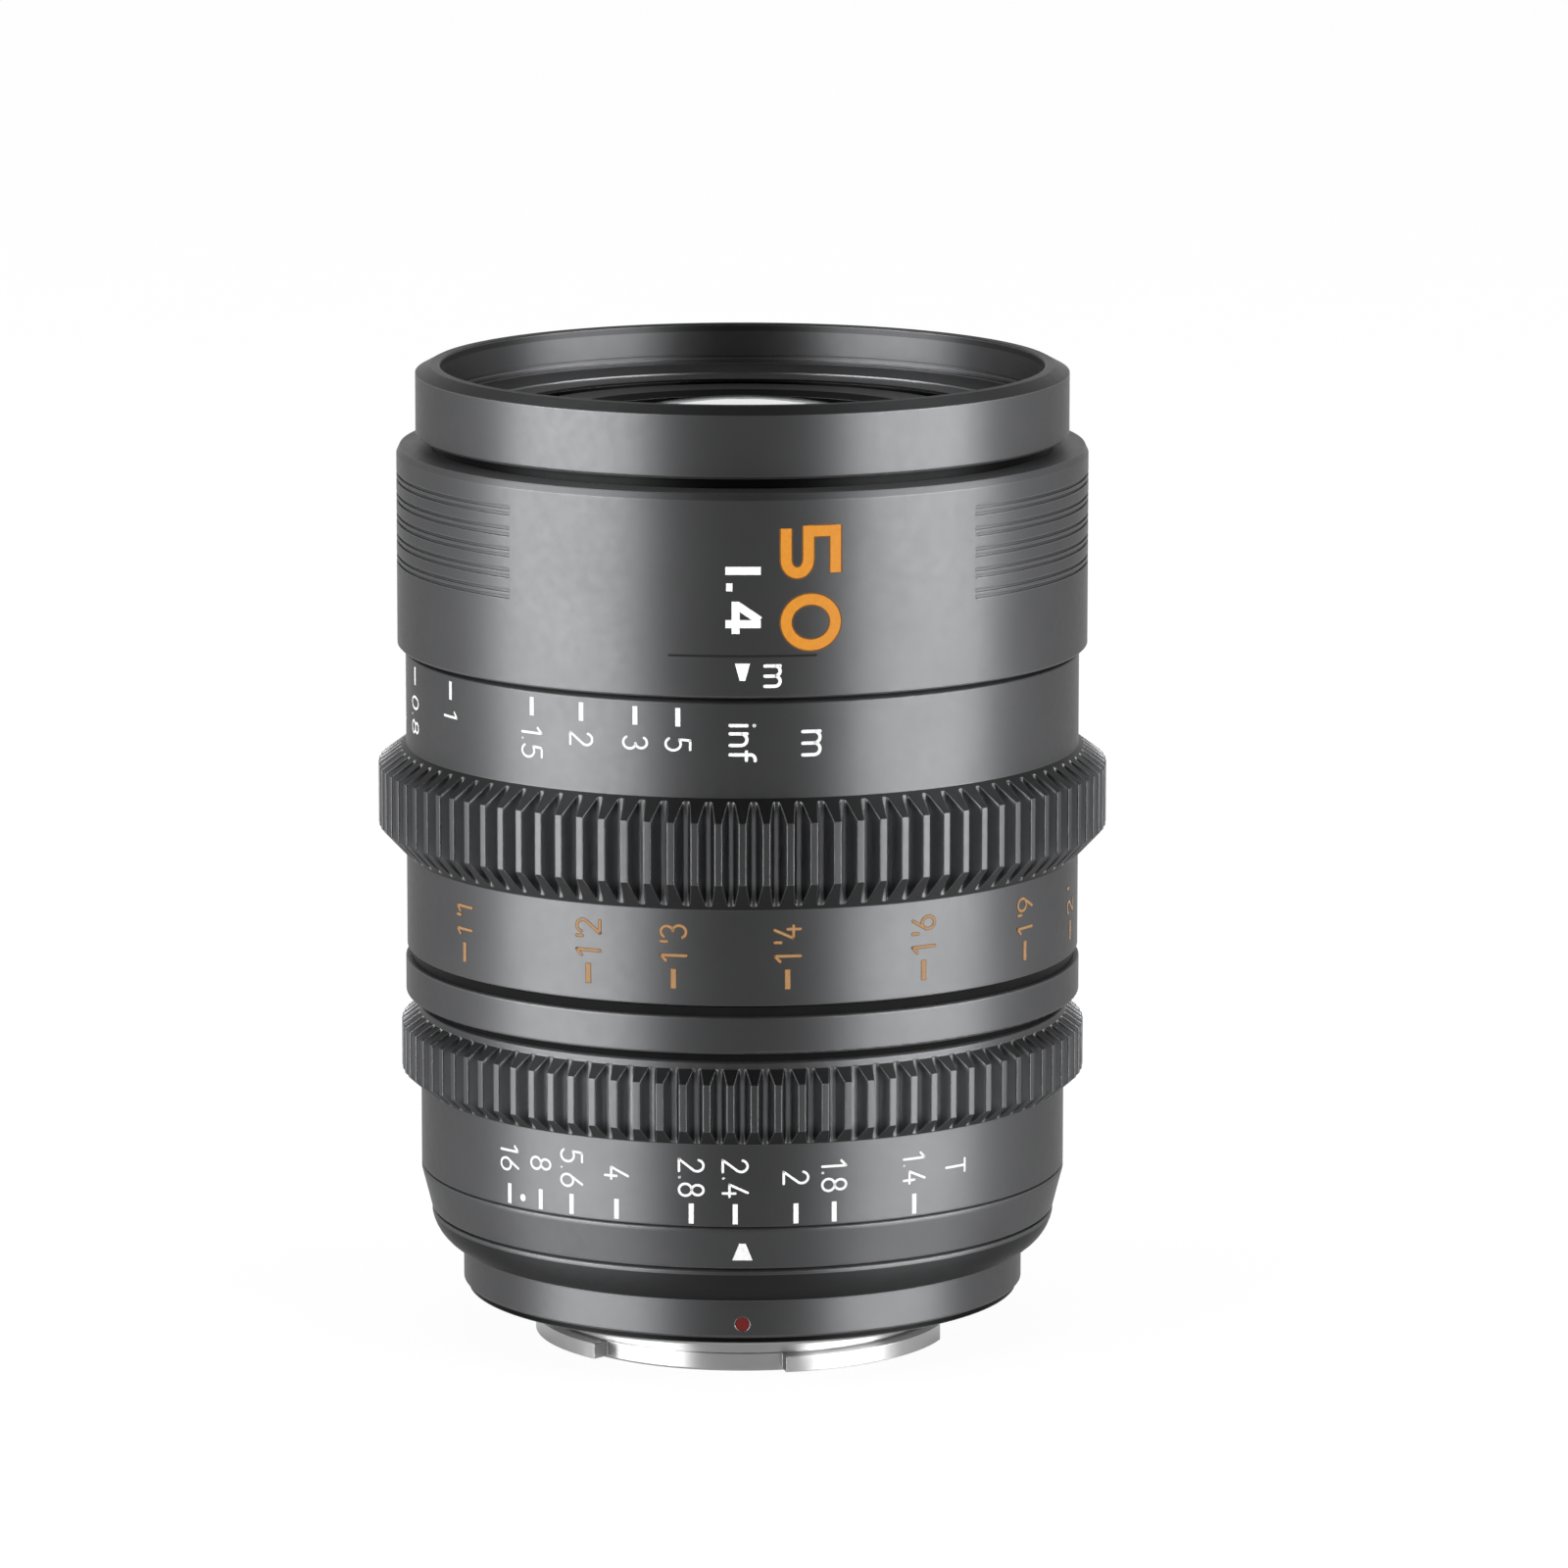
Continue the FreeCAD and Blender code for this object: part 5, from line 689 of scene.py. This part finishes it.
# White marks on the barrel: the focus index with its unit, and the widest stop
FOCUS_INDEX_MM = 74.77
FOCUS_INDEX = trapezoid(0.6, 1.6, 1.85)
BARREL_UNIT_DEG, BARREL_UNIT_MM, BARREL_UNIT_CAP_MM = 5.35, 76.35, 2.3
WIDEST_DEG, WIDEST_MM, WIDEST_CAP_MM = 0.1, 86.55, 3.75
WIDEST_STROKE_MM, WIDEST_DOT_GAP = 0.86, 0.47
barrel_marks = Decal(BARREL_R_MM)
barrel_marks.slab(FOCUS_INDEX, 0.0, FOCUS_INDEX_MM)
barrel_marks.text("m", BARREL_UNIT_DEG, BARREL_UNIT_MM, BARREL_UNIT_CAP_MM, LETTER_STROKE_MM)
barrel_marks.text("1.4", WIDEST_DEG, WIDEST_MM, WIDEST_CAP_MM, WIDEST_STROKE_MM, signs=BOLD_SIGNS,
                  dot_gap=WIDEST_DOT_GAP, round_ends=False)
barrel_marks.build("barrel_marks", white_paint, "root")

# Focal length on the barrel, with a darker edge, painted shade of the engraving's walls
FOCAL_DEG, FOCAL_MM, FOCAL_CAP_MM = 11.05, 90.7, 5.35
FOCAL_STROKE_MM, FOCAL_GAP, FOCAL_SHADE_MM = 1.14, 0.5, 0.32
FOCAL_LAYERS = (("focal_length", orange_paint, 0.0), ("focal_length_painted_shade", orange_engraving_shade, FOCAL_SHADE_MM))
for name, material, grow in FOCAL_LAYERS:
    numbers = Decal(layer_radius(BARREL_R_MM, grow))
    numbers.text("50", FOCAL_DEG, FOCAL_MM, FOCAL_CAP_MM, FOCAL_STROKE_MM + grow, signs=WIDE_SIGNS,
                 gap=FOCAL_GAP, round_ends=False)
    numbers.build(name, material, "root")

# Thin line round the front of the barrel, in parts of one degree that overlap a little
LINE_START_DEG, LINE_END_DEG = -12, 12
LINE_MM, LINE_HALF_MM = 77.4, 0.12
LINE_PART_START_MM, LINE_PART_END_MM = -0.01, 0.67
line_part = [(LINE_PART_START_MM, -LINE_HALF_MM), (LINE_PART_END_MM, -LINE_HALF_MM),
             (LINE_PART_END_MM, LINE_HALF_MM), (LINE_PART_START_MM, LINE_HALF_MM)]
barrel_line = Decal(BARREL_R_MM)
for theta in range(LINE_START_DEG, LINE_END_DEG):
    barrel_line.slab(line_part, theta, LINE_MM)
barrel_line.build("barrel_line", dark_line, "root")

# Index of the iris on the tapered ring
IRIS_INDEX_MM = 11.15
IRIS_INDEX = trapezoid(2.16, 0.68, 1.95)
iris_index = Decal(low=INDEX_RING_LOW_MM, high=INDEX_RING_HIGH_MM)
iris_index.slab(IRIS_INDEX, 0.0, IRIS_INDEX_MM)
iris_index.build("iris_index", white_paint, "root")


def camera_frame():
    """Camera of the photo: pitched down, then turned a little about its own upright axis."""
    pitch = math.radians(CAMERA_PITCH_DEG)
    yaw = math.radians(CAMERA_YAW_DEG)
    ahead = Vector((0.0, math.cos(pitch), -math.sin(pitch)))
    side = Vector((1.0, 0.0, 0.0))
    up = Vector((0.0, math.sin(pitch), math.cos(pitch)))
    look = math.cos(yaw) * ahead + math.sin(yaw) * side
    right = math.cos(yaw) * side - math.sin(yaw) * ahead
    turn = Matrix((right, up, -look)).transposed()
    return Matrix.Translation(CAMERA_PLACE) @ turn.to_4x4()


camera_data = bpy.data.cameras.new("camera")
camera_data.lens = CAMERA_LENS_MM
camera_data.sensor_width = CAMERA_SENSOR_MM
camera_data.clip_start = CAMERA_NEAR
camera_data.clip_end = CAMERA_FAR
camera = bpy.data.objects.new("camera", camera_data)
camera.matrix_world = camera_frame()
bpy.context.scene.collection.objects.link(camera)
bpy.context.scene.camera = camera

# Lights: two upright soft boxes beside the camera and a weak one above and behind the lens. Each has its
# name, azimuth in degrees, distance, lowest and highest place, width, and radiance in units of plain white
LIGHT_TARGET = Vector((0.0, 0.0, 0.05))
SOFT_BOXES = (
    ("left_box", -60.5, 1.2, 0.0, 0.5, 1.2, 15.8),
    ("right_box", 62.0, 1.2, 0.0, 0.5, 1.15, 15.2),
    ("back_box", 180.0, 1.4, 0.3, 0.95, 0.95, 0.15),
)


def soft_box(name, azimuth, distance, low, high, width, radiance):
    """Area light that faces the lens."""
    a = math.radians(azimuth)
    place = Vector((distance * math.sin(a), -distance * math.cos(a), 0.5 * (low + high)))
    data = bpy.data.lights.new(name, "AREA")
    data.shape = "RECTANGLE"
    data.size = width
    data.size_y = high - low
    data.energy = radiance * math.pi * width * (high - low)
    light = bpy.data.objects.new(name, data)
    light.location = place
    light.rotation_euler = (LIGHT_TARGET - place).to_track_quat("-Z", "Y").to_euler()
    light.visible_camera = False
    bpy.context.scene.collection.objects.link(light)


for box in SOFT_BOXES:
    soft_box(*box)

# World and floor: white to the camera. Metal and glass see a white room that is dark in front, behind the
# camera, and above. All else gets a plain level of light
WORLD_FILL = 0.85
ROOM_FRONT = 0.03
FLOOR_FRONT = 0.52
ROOM_TOP = 0.12
ROOM_FRONT_ENDS = (-0.35, 0.1)
ROOM_TOP_ENDS = (0.2, 0.75)
FLOOR_RADIUS = 9.0
FLOOR_SIDES = 96
FLOOR_GLOW = 0.92
PAPER_SCALE = 40.0
PAPER_DARK = (0.86, 0.86, 0.86)
PAPER_LIGHT = (0.88, 0.88, 0.88)


def room_light(tree, direction, darkest):
    """Brightness of the room in a direction, with the darkest value in front."""
    split = tree.add("ShaderNodeSeparateXYZ")
    tree.join(direction, split.inputs[0])
    front = tree.spread(split.outputs["Y"], ROOM_FRONT_ENDS, darkest, 1.0, "SMOOTHSTEP")
    top = tree.spread(split.outputs["Z"], ROOM_TOP_ENDS, 1.0, ROOM_TOP, "SMOOTHSTEP")
    return tree.math("MULTIPLY", front, top)


def mix_shaders(tree, share, first, second, output):
    """Mixes two shaders and gives the result to the output."""
    mix = tree.add("ShaderNodeMixShader")
    tree.join(share, mix.inputs["Fac"])
    tree.join(first.outputs[0], mix.inputs[1])
    tree.join(second.outputs[0], mix.inputs[2])
    tree.join(mix.outputs[0], output.inputs["Surface"])


world = bpy.data.worlds.new("world")
sky = Tree(world)
sky_path = sky.add("ShaderNodeLightPath").outputs
sky_direction = sky.add("ShaderNodeTexCoord").outputs["Generated"]
fill = sky.add("ShaderNodeBackground")
fill.inputs["Strength"].default_value = WORLD_FILL
fill.inputs["Color"].default_value = (1.0, 1.0, 1.0, 1.0)
seen = sky.add("ShaderNodeBackground")
seen.inputs["Strength"].default_value = 1.0
sky_room = room_light(sky, sky_direction, ROOM_FRONT)
sky.join(sky.math("MAXIMUM", sky_room, sky_path["Is Camera Ray"]), seen.inputs["Color"])
sky_seen = sky.math("MAXIMUM", sky_path["Is Camera Ray"], sky_path["Is Glossy Ray"])
sky_share = sky.math("MAXIMUM", sky_seen, sky_path["Is Transmission Ray"])
mix_shaders(sky, sky_share, fill, seen, sky.add("ShaderNodeOutputWorld"))
bpy.context.scene.world = world

# Floor: a wide white disc that keeps the shadow for the camera
floor_mesh = bpy.data.meshes.new("floor")
rim = []
for i in range(FLOOR_SIDES):
    a = 2.0 * math.pi * i / FLOOR_SIDES
    rim.append((FLOOR_RADIUS * math.cos(a), FLOOR_RADIUS * math.sin(a), FLOOR_Z))
floor_mesh.from_pydata(rim, [], [tuple(range(FLOOR_SIDES))])
floor = bpy.data.objects.new("floor", floor_mesh)
bpy.context.scene.collection.objects.link(floor)
floor_material, ground = new_material("floor")
floor_place = ground.object_place()
floor_path = ground.add("ShaderNodeLightPath").outputs
paper = ground.add("ShaderNodeBsdfDiffuse")
paper_color = ground.tinted(ground.noise(floor_place, PAPER_SCALE), PAPER_DARK, PAPER_LIGHT)
ground.join(paper_color, paper.inputs["Color"])
away = ground.add("ShaderNodeVectorMath", operation="NORMALIZE")
ground.join(floor_place, away.inputs[0])
glow = ground.add("ShaderNodeEmission")
floor_room = room_light(ground, away.outputs[0], FLOOR_FRONT)
ground.join(ground.math("MAXIMUM", floor_room, floor_path["Is Camera Ray"]), glow.inputs["Strength"])
camera_share = ground.math("MULTIPLY", floor_path["Is Camera Ray"], FLOOR_GLOW)
glossy_share = ground.math("MAXIMUM", camera_share, floor_path["Is Glossy Ray"])
floor_share = ground.math("MAXIMUM", glossy_share, floor_path["Is Transmission Ray"])
mix_shaders(ground, floor_share, paper, glow, ground.add("ShaderNodeOutputMaterial"))
floor_mesh.materials.append(floor_material)

bpy.context.scene.view_settings.view_transform = "Standard"
